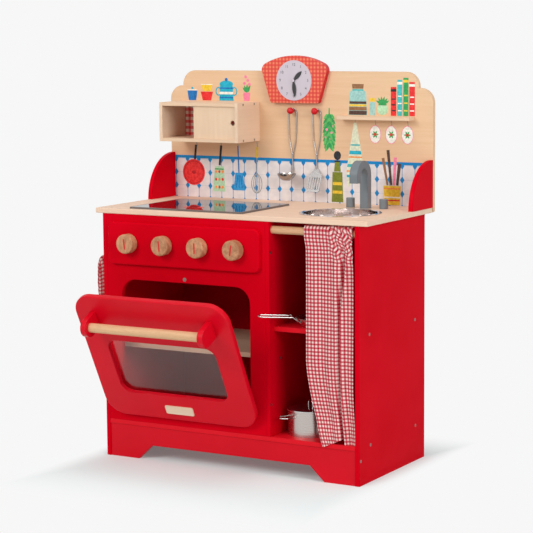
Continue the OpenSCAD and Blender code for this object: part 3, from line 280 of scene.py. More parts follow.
# %% Wood grain along X
tree, given, out = group("wood_grain",
    [("Vector", "v", None), ("Light", "c", (0.8, 0.6, 0.4, 1)), ("Dark", "c", (0.6, 0.4, 0.2, 1)),
     ("Streaks", "f", 0.5), ("Pores", "f", 0.4)],
    [("Color", "c"), ("Roughness", "f"), ("Height", "f")])
bend = noise(tree, stretch(tree, given["Vector"], (2, 9, 9)), 1.0, 2.0)
shift = add(tree, "ShaderNodeVectorMath", operation="ADD")
link(tree, given["Vector"], shift.inputs[0])
link(tree, stretch(tree, bend, (0.02, 0.03, 0.03)), shift.inputs[1])
streak = noise(tree, stretch(tree, shift.outputs[0], (5, 150, 150)), 1.0, 5.0, 0.6)
band = noise(tree, stretch(tree, shift.outputs[0], (1.5, 26, 26)), 1.0, 2.0)
pore = noise(tree, stretch(tree, given["Vector"], (110, 1500, 1500)), 1.0, 1.0)
pores = remap(tree, pore, 0.58, 0.68, 0.0, 1.0)
tone = plus(tree, times(tree, streak, 0.65), times(tree, band, 0.35))
tone = times(tree, remap(tree, tone, 0.36, 0.64, 0.0, 1.0), given["Streaks"])
tone = plus(tree, tone, times(tree, pores, given["Pores"]), clamp=True)
link(tree, blend(tree, tone, given["Light"], given["Dark"]), out["Color"])
link(tree, remap(tree, streak, 0.3, 0.7, 0.52, 0.64), out["Roughness"])
link(tree, minus(tree, times(tree, streak, 0.4), pores), out["Height"])
wood_grain = tree
print("wood grain:", len(tree.nodes), "nodes")

# %% [markdown]
# The boards are sprayed with opaque paint. One flat colour would look like plastic, so the
# tone changes slowly between two close colours and a fine ripple goes into the height.

# %% Sprayed paint
tree, given, out = group("sprayed_paint",
    [("Vector", "v", None), ("Color", "c", (0.7, 0, 0.01, 1)), ("Deep", "c", (0.5, 0, 0.01, 1))],
    [("Color", "c"), ("Roughness", "f"), ("Height", "f")])
slow = noise(tree, given["Vector"], 9.0, 3.0)
fine = noise(tree, given["Vector"], 700.0, 2.0)
link(tree, blend(tree, remap(tree, slow, 0.35, 0.65, 0.0, 1.0), given["Color"], given["Deep"]),
     out["Color"])
link(tree, remap(tree, plus(tree, slow, times(tree, fine, 0.4)), 0.5, 0.9, 0.3, 0.4),
     out["Roughness"])
link(tree, fine, out["Height"])
sprayed_paint = tree
print("sprayed paint:", len(tree.nodes), "nodes")

# %% [markdown]
# Gingham is woven from red and cream threads in equal stripes both ways. Where two red
# stripes cross the cloth is full red, where one runs alone it is a half tone. The same sum
# serves the cloths, the clock and the cupboard's lining. Two sine waves make the weave.

# %% Gingham
HALF_TONE = 0.8
tree, given, out = group("gingham",
    [("Vector", "v", None), ("Period", "f", 0.0065), ("Red", "c", (0.6, 0.01, 0.03, 1)),
     ("Cream", "c", (0.86, 0.8, 0.74, 1)), ("Thread", "f", 0.0004)],
    [("Color", "c"), ("Height", "f")])
parts = axes(tree, given["Vector"])


def stripe(tree, value, period):
    """A soft-edged 0 or 1 stripe, half of each period."""
    fraction = math_node(tree, "FRACT", math_node(tree, "DIVIDE", value, period))
    return remap(tree, unsigned(tree, minus(tree, fraction, 0.5)), 0.225, 0.265, 1.0, 0.0)


def thread(tree, value):
    turns = math_node(tree, "DIVIDE", times(tree, value, math.pi), given["Thread"])
    return math_node(tree, "SINE", turns)


across = stripe(tree, parts[0], given["Period"])
along = stripe(tree, parts[1], given["Period"])
both = times(tree, across, along)
one = minus(tree, math_node(tree, "MAXIMUM", across, along), both)
cloth = blend(tree, times(tree, one, HALF_TONE), given["Cream"], given["Red"])
cloth = blend(tree, both, cloth, given["Red"])
weave = times(tree, thread(tree, parts[0]), thread(tree, parts[1]))
shade = remap(tree, weave, -1.0, 1.0, 0.0, 0.08)
link(tree, blend(tree, shade, cloth, (0.35, 0.1, 0.1, 1), "MULTIPLY"), out["Color"])
link(tree, weave, out["Height"])
gingham = tree
print("gingham:", len(tree.nodes), "nodes")

# %% [markdown]
# Spun and polished steel carries fine scratches from its making. They hardly change its
# colour, so they go only into the roughness and the height.

# %% Brushed metal
tree, given, out = group("brushed_metal",
    [("Vector", "v", None), ("Rough", "f", 0.25), ("Spread", "f", 0.12)],
    [("Roughness", "f"), ("Height", "f")])
scratch = noise(tree, stretch(tree, given["Vector"], (60, 60, 2600)), 1.0, 3.0)
cloud = noise(tree, given["Vector"], 30.0, 2.0)
wear = plus(tree, times(tree, scratch, 0.7), times(tree, cloud, 0.3))
wear = times(tree, minus(tree, wear, 0.5), given["Spread"])
link(tree, plus(tree, given["Rough"], wear), out["Roughness"])
link(tree, scratch, out["Height"])
brushed_metal = tree
print("groups:", [g.name for g in bpy.data.node_groups])

# %% [markdown]
# ## Finishes
# A finish is a Principled shader with a group feeding its colour, roughness and bump. Board
# edges of painted furniture are always a little rounded, so the paint's normal goes through
# a Bevel node, which rounds every hard edge in the shading by one to two millimetres.

# %% A helper that starts a finish
def finish(name, **values):
    """A material with a Principled shader. Returns it with its tree, shader and place."""
    material = bpy.data.materials.new(name)
    material.use_nodes = True
    tree = material.node_tree
    shader = tree.nodes["Principled BSDF"]
    for label, value in values.items():
        shader.inputs[label.replace("_", " ")].default_value = value
    place = add(tree, "ShaderNodeTexCoord").outputs["Object"]
    return material, tree, shader, place


def use(tree, shared, **values):
    node = tree.nodes.new("ShaderNodeGroup")
    node.node_tree = shared
    for label, value in values.items():
        if isinstance(value, bpy.types.NodeSocket):
            tree.links.new(value, node.inputs[label])
        else:
            node.inputs[label].default_value = value
    return node.outputs


def bump(tree, shader, height, depth, strength=1.0, rounding=0.0):
    node = add(tree, "ShaderNodeBump", Strength=strength, Distance=depth)
    link(tree, height, node.inputs["Height"])
    if rounding:
        edge = add(tree, "ShaderNodeBevel", samples=4, Radius=rounding)
        link(tree, edge.outputs[0], node.inputs["Normal"])
    link(tree, node.outputs[0], shader.inputs["Normal"])


def turned(tree, place, rotation=(0, 0, 0), location=(0, 0, 0)):
    node = add(tree, "ShaderNodeMapping")
    node.inputs["Rotation"].default_value = rotation
    node.inputs["Location"].default_value = location
    link(tree, place, node.inputs["Vector"])
    return node.outputs[0]


# %% [markdown]
# Most boards are a deep red that hardly shines. Its gloss is kept low, so that the lamps and
# the pale floor don't wash the broad sides pink. The door and the kick board get a touch
# brighter red, which is painted light. The base board and the shelf get a lighter red, also
# painted light, and the back inside a darker red, which is painted shade. The balls of the
# pegs are lacquered.

# %% Red and grey paint
def paint(name, color, deep, rounding=0.0018, **values):
    material, tree, shader, place = finish(name, **values)
    coat = use(tree, sprayed_paint, Vector=place, Color=(*color, 1), Deep=(*deep, 1))
    link(tree, coat["Color"], shader.inputs["Base Color"])
    link(tree, coat["Roughness"], shader.inputs["Roughness"])
    bump(tree, shader, coat["Height"], 0.00006, 0.25, rounding)
    return material


DULL = 0.012
red_paint = paint("red_paint", (0.67, 0.0006, 0.011), (0.62, 0.0005, 0.009),
                  Specular_IOR_Level=DULL)
# A brighter copy of the red: painted light on the door, its brackets and the kick board.
door_red_painted_light = paint("red_paint_door_painted_light", (0.68, 0.0012, 0.014), (0.63, 0.001, 0.012),
                 Specular_IOR_Level=0.16)
# A lighter copy of the red: painted light on the base board and the compartment shelf.
edge_red_painted_light = paint("red_paint_edges_painted_light", (0.76, 0.006, 0.018), (0.7, 0.005, 0.015),
                 Specular_IOR_Level=0.12)
# A darker copy of the red: painted shade on the back panel inside.
inner_red_painted_shade = paint("red_paint_inside_painted_shade", (0.5, 0.0006, 0.009), (0.44, 0.0005, 0.008),
                  Specular_IOR_Level=DULL)
ball_red = paint("red_lacquer", (0.62, 0.002, 0.012), (0.56, 0.002, 0.01), 0,
                 Specular_IOR_Level=0.3, Coat_Weight=0.15, Coat_Roughness=0.1)
grey_paint = paint("grey_paint", (0.19, 0.215, 0.235), (0.16, 0.185, 0.2),
                   Specular_IOR_Level=0.25)
print("paints:", [m.name for m in (red_paint, door_red_painted_light, edge_red_painted_light, inner_red_painted_shade, ball_red, grey_paint)])

# %% [markdown]
# Shelves, rods and knobs are bare wood. One function turns the shared grain along X, Y or Z,
# so a board that stands upright has its grain upright, and each kind of wood gets its own
# pair of colours. The plywood of the cupboard ends is a lighter copy, which is painted light.


# %% Bare wood, with the grain along X, Y or Z
def wood(name, light, dark, streaks, pores, rotation=(0, 0, 0), rounding=0.001, **values):
    material, tree, shader, place = finish(name, **values)
    grain = use(tree, wood_grain, Vector=turned(tree, place, rotation), Light=(*light, 1),
                Dark=(*dark, 1), Streaks=streaks, Pores=pores)
    link(tree, grain["Color"], shader.inputs["Base Color"])
    link(tree, grain["Roughness"], shader.inputs["Roughness"])
    bump(tree, shader, grain["Height"], 0.00012, 0.35, rounding)
    return material, tree, shader, place, grain


QUARTER = math.pi / 2
PLY_LIGHT, PLY_DARK = (0.82, 0.545, 0.34), (0.70, 0.42, 0.235)
BEECH_LIGHT, BEECH_DARK = (0.66, 0.34, 0.18), (0.34, 0.14, 0.065)
MATT = dict(Specular_IOR_Level=0.25)
ply = wood("plywood", (0.82, 0.58, 0.4), (0.72, 0.47, 0.3), 0.55, 0.12, **MATT)[0]
# The cupboard ends' plywood is lighter than the rest: painted light.
ply_ends_painted_light = wood("plywood_along_y_painted_light", (0.86, 0.63, 0.46), (0.74, 0.51, 0.35), 0.55, 0.12,
                (0, 0, QUARTER), **MATT)[0]
ply_up = wood("plywood_along_z", (0.84, 0.61, 0.43), (0.74, 0.5, 0.33), 0.5, 0.1,
              (0, QUARTER, 0), **MATT)[0]
beech = wood("beech", (0.76, 0.46, 0.26), (0.58, 0.31, 0.16), 0.75, 0.5, **MATT)[0]
shelf_wood = wood("oven_shelf_wood", (0.8, 0.6, 0.42), (0.68, 0.46, 0.3), 0.5, 0.1, **MATT)[0]
print("woods:", [m.name for m in (ply, ply_ends_painted_light, ply_up, beech, shelf_wood)])

# %% [markdown]
# The pan, the pot and the sink are spun or pressed sheet, the handles and utensils polished
# wire, the screws dull zinc. They differ only in colour, in roughness and how far it varies,
# and in the depth of the scratches.


# %% Metals
def metal(name, color, rough, spread, scratches=0.2, **values):
    material, tree, shader, place = finish(name, Metallic=1.0, Base_Color=(*color, 1), **values)
    grain = use(tree, brushed_metal, Vector=place, Rough=rough, Spread=spread)
    link(tree, grain["Roughness"], shader.inputs["Roughness"])
    bump(tree, shader, grain["Height"], 0.00004, scratches)
    return material


bright_wire = metal("bright_wire", (0.56, 0.54, 0.53), 0.16, 0.06)
utensil_steel = metal("utensil_steel", (0.42, 0.4, 0.39), 0.2, 0.08)
spun_steel = metal("spun_steel", (0.56, 0.5, 0.47), 0.26, 0.16, 0.4)
sink_steel = metal("sink_steel", (0.78, 0.72, 0.7), 0.09, 0.04, 0.05)
screw_zinc = metal("screw_zinc", (0.3, 0.25, 0.22), 0.4, 0.1)
print("materials so far:", len(bpy.data.materials))

# %% [markdown]
# ## Dressing the solids
# A solid keeps its mesh, and only its material slots are filled. The grain follows the length
# of each board, as it would be cut from a sheet.

# %% Give each solid its finish
def dress(material, *names):
    for name in names:
        for slot in nodes[name].material_slots:
            slot.material = material


dress(red_paint, "left_side_panel", "right_side_panel", "front_panel", "control_plate",
      "cheeks", "divider_panel")
dress(inner_red_painted_shade, "cabinet_back_panel")
dress(door_red_painted_light, "door_panel", "door_handle_brackets", "kick_board")
dress(edge_red_painted_light, "base_board", "compartment_shelf")
dress(ball_red, "utensil_pegs")
dress(grey_paint, "tap_spout", "hot_tap", "cold_tap")
dress(ply, "cupboard_top", "cupboard_bottom", "wall_shelf")
dress(ply_ends_painted_light, "cupboard_ends")
dress(ply_up, "cupboard_door")
dress(shelf_wood, "oven_shelf")
dress(beech, "door_handle_bar", "curtain_rod", "knob_spindles", "tap_pins", "worktop_dowels",
      "mitt_peg")
dress(bright_wire, "pan_handle", "pot_handles")
dress(utensil_steel, "ladle", "turner")
dress(spun_steel, "pan", "pot")
dress(sink_steel, "sink_bowl")
dress(screw_zinc, "screws", "door_screws", "hinge_pins", "hinge_fixed_leaves",
      "hinge_door_leaves", "door_magnet", "door_strike_disc")
print("screws wear", nodes["screws"].material_slots[0].material.name)

# %% [markdown]
# The worktop is a pale sheet whose grain runs along its length. It is seen at a low angle, so
# it gets a touch of clear coat, which lifts it towards the light as the real one does. The
# door's plate is bare wood.

# %% Worktop and door plate
worktop_wood = wood("worktop_wood", (0.84, 0.6, 0.45), (0.76, 0.51, 0.36), 0.5, 0.1,
                    Specular_IOR_Level=0.3, Coat_Weight=0.05, Coat_Roughness=0.35)[0]
dress(worktop_wood, "worktop")
plate_wood = wood("door_plate_wood", (0.86, 0.68, 0.5), (0.78, 0.57, 0.38), 0.6, 0.2)[0]
dress(plate_wood, "door_badge")
print("worktop:", worktop_wood.name, "door plate:", plate_wood.name)

# %% [markdown]
# ## Knobs with a painted line
# Each beech knob has one red line across its face. The line is a mask in the knob's own
# coordinates: a Mapping node moves the knob's centre to zero and turns it by the knob's tilt.

# %% Knobs
def line_mask(tree, place, centre, tilt, half_w, half_l):
    """1 inside a rounded line on the knob's face, 0 elsewhere."""
    moved = turned(tree, place, location=(-centre[0], -centre[1], -centre[2]))
    spun = turned(tree, moved, rotation=(0, tilt, 0))
    parts = axes(tree, spun)
    x = unsigned(tree, parts[0])
    z = minus(tree, unsigned(tree, parts[2]), half_l - half_w)
    z = math_node(tree, "MAXIMUM", z, 0.0)
    far = math_node(tree, "SQRT", plus(tree, times(tree, x, x), times(tree, z, z)))
    inside = remap(tree, far, half_w * 0.85, half_w * 1.1, 1.0, 0.0)
    front = remap(tree, parts[1], 0.0, 0.0005, 1.0, 0.0)
    return times(tree, inside, front)


LINE_W, LINE_L = 0.0032, 0.021
for number, tilt in ((1, 9), (2, 6), (3, 2), (4, -7)):
    name = f"knob_{number}"
    low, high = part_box(name)
    centre = ((low[0] + high[0]) / 2, low[1] + 0.002, (low[2] + high[2]) / 2)
    material, tree, shader, place, grain = wood(f"beech_{name}", BEECH_LIGHT, BEECH_DARK, 0.9, 0.7,
                                                (0, QUARTER, 0.3 * number), **MATT)
    mask = line_mask(tree, place, centre, math.radians(tilt), LINE_W / 2, LINE_L / 2)
    link(tree, blend(tree, mask, grain["Color"], (0.6, 0.015, 0.02, 1)),
         shader.inputs["Base Color"])
    dress(material, name)
    print(name, "line leans", tilt, "degrees")

# %% [markdown]
# ## Hob
# The hob is a sheet of black glass with a thin grey-brown rim. At this low angle it mirrors
# the tiles behind it. The rim is a mask from the distance to the sheet's edge.

# %% Hob glass
low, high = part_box("cooktop")
material, tree, shader, place = finish("hob_glass", Roughness=0.04, IOR=1.6)
middle = turned(tree, place, location=(-(low[0] + high[0]) / 2, -(low[1] + high[1]) / 2, 0))
parts = axes(tree, middle)
x = minus(tree, unsigned(tree, parts[0]), (high[0] - low[0]) / 2)
y = minus(tree, unsigned(tree, parts[1]), (high[1] - low[1]) / 2)
rim = remap(tree, math_node(tree, "MAXIMUM", x, y), -0.0042, -0.0038, 0.0, 1.0)
smear = remap(tree, noise(tree, place, 14.0), 0.4, 0.6, 0.0, 1.0)
glass_black = blend(tree, smear, (0.008, 0.008, 0.01, 1), (0.014, 0.013, 0.014, 1))
glass_black = blend(tree, rim, glass_black, (0.13, 0.1, 0.09, 1))
link(tree, glass_black, shader.inputs["Base Color"])
link(tree, plus(tree, 0.03, times(tree, rim, 0.4)), shader.inputs["Roughness"])
dress(material, "cooktop")
print("hob, mm:", [round((b - a) * 1000, 1) for a, b in zip(low, high)])

# %% [markdown]
# ## Oven window and pot lid
# The window is a clear pane with a slight warm tint. It mirrors the pale floor, because the
# open door leans over it, and this lies as a veil on the dark oven. The pot's lid is plain
# metal.

# %% Smoky pane and lid
material, tree, shader, place = finish("smoky_pane", IOR=1.5, Transmission_Weight=1.0,
                                        Specular_Tint=(1, 0.8, 0.78, 1))
haze = noise(tree, place, 20.0)
link(tree, blend(tree, haze, (0.93, 0.86, 0.85, 1), (0.97, 0.9, 0.89, 1)),
     shader.inputs["Base Color"])
link(tree, remap(tree, haze, 0.3, 0.7, 0.0, 0.03), shader.inputs["Roughness"])
dress(material, "door_window")
dress(metal("lid_metal", (0.62, 0.6, 0.6), 0.2, 0.1), "pot_lid")
print("pane:", [m.name for m in nodes["door_window"].data.materials])

# %% [markdown]
# ## Clock hands, pin and dial
# The hands are black plastic and the dial is pale card. Both are matt with a fine speck, so
# one function makes them from two close colours.


# %% Specked finishes
def specked(name, light, dark, grain, depth, roughness):
    material, tree, shader, place = finish(name, Roughness=roughness)
    speck = noise(tree, place, grain)
    link(tree, blend(tree, speck, (*light, 1), (*dark, 1)), shader.inputs["Base Color"])
    bump(tree, shader, speck, depth, 0.3)
    return material


black_plastic = specked("black_plastic", (0.012, 0.012, 0.012), (0.022, 0.022, 0.024), 900.0,
                        0.00003, 0.45)
dial_card = specked("dial_card", (0.57, 0.49, 0.55), (0.64, 0.56, 0.62), 1200.0, 0.00002, 0.6)
dress(black_plastic, "hour_hand", "minute_hand")
dress(dial_card, "clock_dial", "clock_pin")
print("specked:", black_plastic.name, dial_card.name)

# %% [markdown]
# ## Clock face
# The clock's body is red board printed with a gingham check. The check lies in the XZ plane,
# so the coordinates are turned before they go into the group.

# %% Gingham on the clock
def swapped(tree, place):
    """Puts height into Y, so that a flat pattern lies on an upright face."""
    parts = axes(tree, place)
    joined = add(tree, "ShaderNodeCombineXYZ")
    link(tree, parts[0], joined.inputs[0])
    link(tree, parts[2], joined.inputs[1])
    return joined.outputs[0]


material, tree, shader, place = finish("clock_gingham", Roughness=0.45)
CLOCK_CHECK = 0.0078
check = use(tree, gingham, Vector=swapped(tree, place), Period=CLOCK_CHECK,
            Red=(0.7, 0.03, 0.02, 1), Cream=(0.86, 0.21, 0.1, 1), Thread=0.0008)
normal = axes(tree, add(tree, "ShaderNodeNewGeometry").outputs["Normal"])
facing = remap(tree, normal[1], -0.9, -0.8, 1.0, 0.0)
link(tree, blend(tree, facing, (0.6, 0.004, 0.014, 1), check["Color"]), shader.inputs["Base Color"])
bump(tree, shader, check["Height"], 0.00003, 0.3, 0.001)
dress(material, "clock_body")
print("clock check, mm:", CLOCK_CHECK * 1000)

# %% [markdown]
# ## Tiles printed on the backboard
# The lower part of the backboard carries a traditional tile print: white tiles whose corners
# are blue diamonds, thin lines between them and a blue band on top. All of it is arithmetic on
# the height and the distance from the middle, and only the front face gets it.

# %% The tile group
tree, given, out = group("tile_print",
    [("Vector", "v", None), ("Pitch", "f", 0.0275), ("Bottom", "f", 0.495), ("Top", "f", 0.581)],
    [("Color", "c"), ("Mask", "f")])
parts = axes(tree, given["Vector"])
height = minus(tree, given["Top"], parts[2])


def in_cell(tree, value):
    """Where a value lies in its tile, from -0.5 to 0.5."""
    tiles = math_node(tree, "DIVIDE", value, given["Pitch"])
    return minus(tree, math_node(tree, "FRACT", tiles), 0.5)


FIRST_LINE, DIAMOND_W, DIAMOND_H = 0.0075, 0.185, 0.28
edge_x = unsigned(tree, in_cell(tree, parts[0]))
cell_z = in_cell(tree, minus(tree, height, FIRST_LINE))
from_corner = unsigned(tree, minus(tree, unsigned(tree, cell_z), 0.5))
diamond = plus(tree, times(tree, edge_x, 1 / DIAMOND_W), times(tree, from_corner, 1 / DIAMOND_H))
diamond = remap(tree, diamond, 0.9, 1.04, 1.0, 0.0)
line_v = remap(tree, edge_x, 0.015, 0.035, 0.8, 0.0)
line_h = remap(tree, from_corner, 0.01, 0.03, 0.3, 0.0)
band = remap(tree, height, 0.0058, 0.0064, 1.0, 0.0)
wet = noise(tree, given["Vector"], 60.0, 4.0)
white_tile = blend(tree, remap(tree, wet, 0.35, 0.65, 0.0, 1.0), (0.85, 0.79, 0.77, 1),
                   (0.73, 0.69, 0.7, 1))
blue = blend(tree, wet, (0.002, 0.16, 0.5, 1), (0.004, 0.3, 0.62, 1))
tile = blend(tree, line_h, white_tile, (0.35, 0.4, 0.5, 1))
tile = blend(tree, line_v, tile, blue)
tile = blend(tree, diamond, tile, blue)
link(tree, blend(tree, band, tile, blue), out["Color"])
inside = times(tree, math_node(tree, "GREATER_THAN", height, 0.0),
               math_node(tree, "GREATER_THAN", parts[2], given["Bottom"]))
link(tree, inside, out["Mask"])
tile_print = tree
print("tile print:", len(tree.nodes), "nodes")

# %% [markdown]
# The backboard is bare plywood with the tiles on its front. Its back and its edges keep the
# wood, so the group's mask is multiplied by a mask of the front face.

# %% Backboard
material, tree, shader, place, grain = wood("backboard_wood", PLY_LIGHT, PLY_DARK, 0.5, 0.1, **MATT)
tiles = use(tree, tile_print, Vector=place)
board_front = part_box("backboard")[0][1]
on_front = math_node(tree, "LESS_THAN", axes(tree, place)[1], board_front + 0.0004)
mask = times(tree, tiles["Mask"], on_front)
link(tree, blend(tree, mask, grain["Color"], tiles["Color"]), shader.inputs["Base Color"])
dress(material, "backboard")
print("board front at y =", round(board_front, 4))

# %% [markdown]
# ## Helpers for new pieces
# New pieces are modelled with the same operators as by hand. Operators act on what is
# selected, so everything is deselected first. A finished piece has its place in its mesh.

# %% Modelling helpers
def fresh():
    """Leaves edit mode and deselects everything."""
    if bpy.context.object and bpy.context.object.mode != "OBJECT":
        bpy.ops.object.mode_set(mode="OBJECT")
    bpy.ops.object.select_all(action="DESELECT")


def pick(piece):
    """Selects one piece alone and makes it the active one."""
    fresh()
    piece.select_set(True)
    bpy.context.view_layer.objects.active = piece


def settle(piece):
    """Puts the object's place, turn and size into its mesh."""
    pick(piece)
    bpy.ops.object.transform_apply(location=True, rotation=True, scale=True)


def apply_modifiers(piece):
    pick(piece)
    for modifier in list(piece.modifiers):
        bpy.ops.object.modifier_apply(modifier=modifier.name)


def smooth(piece, angle):
    pick(piece)
    bpy.ops.object.shade_smooth_by_angle(angle=math.radians(angle))


def piece_from(name, vertices, faces, material, body=None, uvs=None):
    """A new mesh object from points and faces, with an optional body and UV for each point."""
    mesh = bpy.data.meshes.new(name)
    mesh.from_pydata([tuple(map(float, v)) for v in vertices], [], faces)
    if uvs is not None:
        layer = mesh.uv_layers.new(name="cloth")
        for loop in mesh.loops:
            layer.data[loop.index].uv = uvs[loop.vertex_index]
    piece = bpy.data.objects.new(name, mesh)
    bpy.context.collection.objects.link(piece)
    mesh.materials.append(material)
    if body:
        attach(piece, body)
    return piece


# %% [markdown]
# ## Curtain
# The curtain is a gathered strip of gingham on a rod. Its folds are a formula: a few waves, a
# deep crease where it is bunched, and a lower corner that hangs in front of the base board.
# A cloth simulation could make folds too, but a formula puts them where they are wanted.
# Widths and heights are in millimetres here, and u runs from 0 at the left edge to 1.

# %% The curtain's measures
rod_low, rod_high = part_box("curtain_rod")
rod_y, rod_z = (rod_low[1] + rod_high[1]) / 2, (rod_low[2] + rod_high[2]) / 2
CLOTH_W, CLOTH_RIGHT, HEM_LOW = 97.5, 267.5, 69.0
OVER = (rod_high[2] - rod_low[2]) / 2 + 0.00075
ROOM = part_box("worktop")[0][2] - 0.0008 - rod_z - OVER
ROD_MM = rod_z * 1000
CREASE = 0.62
print("room for the bunched heading, mm:", round(ROOM * 1000, 2))


# %% The curtain's edges
def ease(t):
    t = min(1.0, max(0.0, t))
    return t * t * (3 - 2 * t)


def wave(degrees):
    return math.sin(math.radians(degrees))


def hem(u):
    """Height of the lower edge: low at the left corner and again right of the crease."""
    if u < CREASE:
        return HEM_LOW + 16 * (u / CREASE) ** 1.2
    return HEM_LOW + 5 + 11 * (1 - ease((u - CREASE) / 0.04))


def left_edge(z):
    """The left edge swings inwards near the hem and draws in a little under the rod."""
    swing = 38 * min(1, max(0, (HEM_LOW + 161 - z) / 161)) ** 1.5
    return CLOTH_RIGHT - CLOTH_W + swing - 4 * ease((z - 435) / 30)


def right_edge(z):
    return CLOTH_RIGHT + 4.5 * ease((190 - z) / 110)


print("hem at the corners, mm:", round(hem(0), 1), round(hem(1), 1))


# %% The curtain's folds
def folds(u, z):
    """How far the cloth stands forwards of its plain hanging plane, in mm."""
    c = u - 0.63 - 0.05 * ease((z - 70) / 150) - 0.14 * ease((z - 300) / 150)
    soft = 0.5 * wave(684 * u + 40 + 20 * wave(z * 0.7)) + 0.2 * wave(1548 * u + z * 0.5)
    soft -= 2.3 * math.exp(-(c / 0.035) ** 2) - 0.9 * math.exp(-((c - 0.09) / 0.06) ** 2)
    return 4 * ease((ROD_MM - z) / 70) * soft + bunch(u, z)


def bunch(u, z):
    """Small crumples near the rod, strongest at the right, forwards in mm."""
    high = ease((z - ROD_MM + 75) / 50)
    low = 0.5 + 0.5 * wave(2500 * u + 6.5 * z + 70 * wave(z * 5) + 40 * wave(900 * u))
    fine = 0.5 + 0.5 * wave(5200 * u - 9 * z + 90 * wave(1500 * u))
    return high * (0.8 + (1.9 * low + 1.4 * fine) * ease((u - 0.36) / 0.3))


def drape(u, z):
    """The lower left corner stands forwards, over the base board's edge."""
    return 7 * ease((130 - z) / 50) * ease((0.75 - u) / 0.35)


print("deepest fold at mid height, mm:", round(min(folds(i / 50, 250) for i in range(50)), 1))

# %% [markdown]
# The cloth is a grid of points: a short flap behind the rod, half a turn over it, and the long
# front. Each point also gets its place on the flat cloth, in metres, so that the check follows
# the folds.

# %% The curtain's points and faces
COLS, BACK_ROWS, ARC_ROWS, FRONT_ROWS = 120, 4, 14, 120
FLAP = 0.007
points, uvs = [], []
for j in range(BACK_ROWS + ARC_ROWS + FRONT_ROWS + 1):
    for i in range(COLS + 1):
        u = i / COLS
        if j < BACK_ROWS:
            drop = FLAP * (BACK_ROWS - j) / BACK_ROWS
            y, z, run = rod_y + OVER, rod_z - drop, -drop - math.pi * OVER
        elif j < BACK_ROWS + ARC_ROWS:
            t = math.pi * (j - BACK_ROWS) / ARC_ROWS
            crumple = bunch(u, ROD_MM + 20 * (1 - t / math.pi)) / 1000 * ease(t)
            far = OVER + 0.004 * math.sin(t) + crumple
            up_most = min(far * math.sin(t), OVER + ROOM)
            y, z, run = rod_y + far * math.cos(t), rod_z + up_most, -(math.pi - t) * OVER
        else:
            t = (j - BACK_ROWS - ARC_ROWS) / FRONT_ROWS
            mm = ROD_MM + (hem(u) - ROD_MM) * t
            y, z = rod_y - OVER - (folds(u, mm) + drape(u, mm)) / 1000, mm / 1000
            run = rod_z - z
        edge, width = left_edge(z * 1000), right_edge(z * 1000) - left_edge(z * 1000)
        points.append(((edge + u * width) / 1000, y, z))
        tug = ease((z * 1000 - ROD_MM + 70) / 50) * ease((u - 0.4) / 0.35)
        uvs.append((0.1 * u + 0.003 * tug * wave(12 * z * 1000 + 500 * u),
                    -run + 0.004 * tug * wave(1300 * u + 5 * z * 1000)))
faces = [(a, a + COLS + 1, a + COLS + 2, a + 1)
         for j in range(BACK_ROWS + ARC_ROWS + FRONT_ROWS)
         for a in range(j * (COLS + 1), j * (COLS + 1) + COLS)]
print("curtain points:", len(points))

# %% [markdown]
# The cloth is soft and dull, with a little sheen from its fibres. The sheet of points gets its
# thickness from a Solidify modifier.


# %% Curtain cloth and its material
def gingham_cloth(name, period, red, cream):
    material, tree, shader, place = finish(name, Roughness=0.9, Specular_IOR_Level=0.1,
                                            Sheen_Weight=0.06, Sheen_Roughness=0.5)
    coordinates = add(tree, "ShaderNodeUVMap", uv_map="cloth").outputs[0]
    check = use(tree, gingham, Vector=coordinates, Period=period, Red=(*red, 1), Cream=(*cream, 1),
                Thread=0.00033)
    link(tree, check["Color"], shader.inputs["Base Color"])
    bump(tree, shader, check["Height"], 0.00006, 0.5)
    return material


CLOTH_THICK = 0.0005
curtain_cloth = gingham_cloth("curtain_gingham", 0.0071, (0.48, 0.0005, 0.026),
                              (0.86, 0.65, 0.61))
curtain = piece_from("curtain_cloth", points, faces, curtain_cloth, uvs=uvs)
thickness = curtain.modifiers.new("thickness", "SOLIDIFY")
thickness.thickness = CLOTH_THICK
thickness.offset = 0
apply_modifiers(curtain)
smooth(curtain, 80)
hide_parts("curtain")
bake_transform(curtain)
print("curtain faces:", len(curtain.data.polygons))

# %% [markdown]
# ## Mitt
# The mitt hangs on a peg at the left. It is a quilted pad: a crowned form over the outline of
# a hand with a thumb, pressed in along the stitched lines, with a loop to hang it by. It could
# be inflated as cloth, but spokes and rings round its middle keep the stitches even.

# %% Mitt outline
MITT_W, MITT_H, MITT_T, MITT_TOP = 0.118, 0.176, 0.0215, 0.400
THUMB, THUMB_AT, NOTCH, NOTCH_AT = 0.027, 337, 0.007, 309
PALM_HALF = MITT_W / 2 - 0.011
mid_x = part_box("mitt")[1][0] - MITT_T / 2
mid_y = front_y + 0.001 + PALM_HALF
mid_z = MITT_TOP - MITT_H / 2


def mitt_edge(a):
    """Distance from the mitt's middle to its edge, in the direction of an angle in degrees."""
    c, s = abs(math.cos(math.radians(a))), abs(math.sin(math.radians(a)))
    n = 7 if a < 180 else 2.3
    r = ((c / PALM_HALF) ** n + (s / (MITT_H / 2)) ** n) ** (-1 / n)
    r += THUMB * math.exp(-((a - THUMB_AT) / 13) ** 2)
    return r - NOTCH * math.exp(-((a - NOTCH_AT) / 12) ** 2)


print("thumb reaches, mm:", round(mitt_edge(THUMB_AT) * 1000, 1))

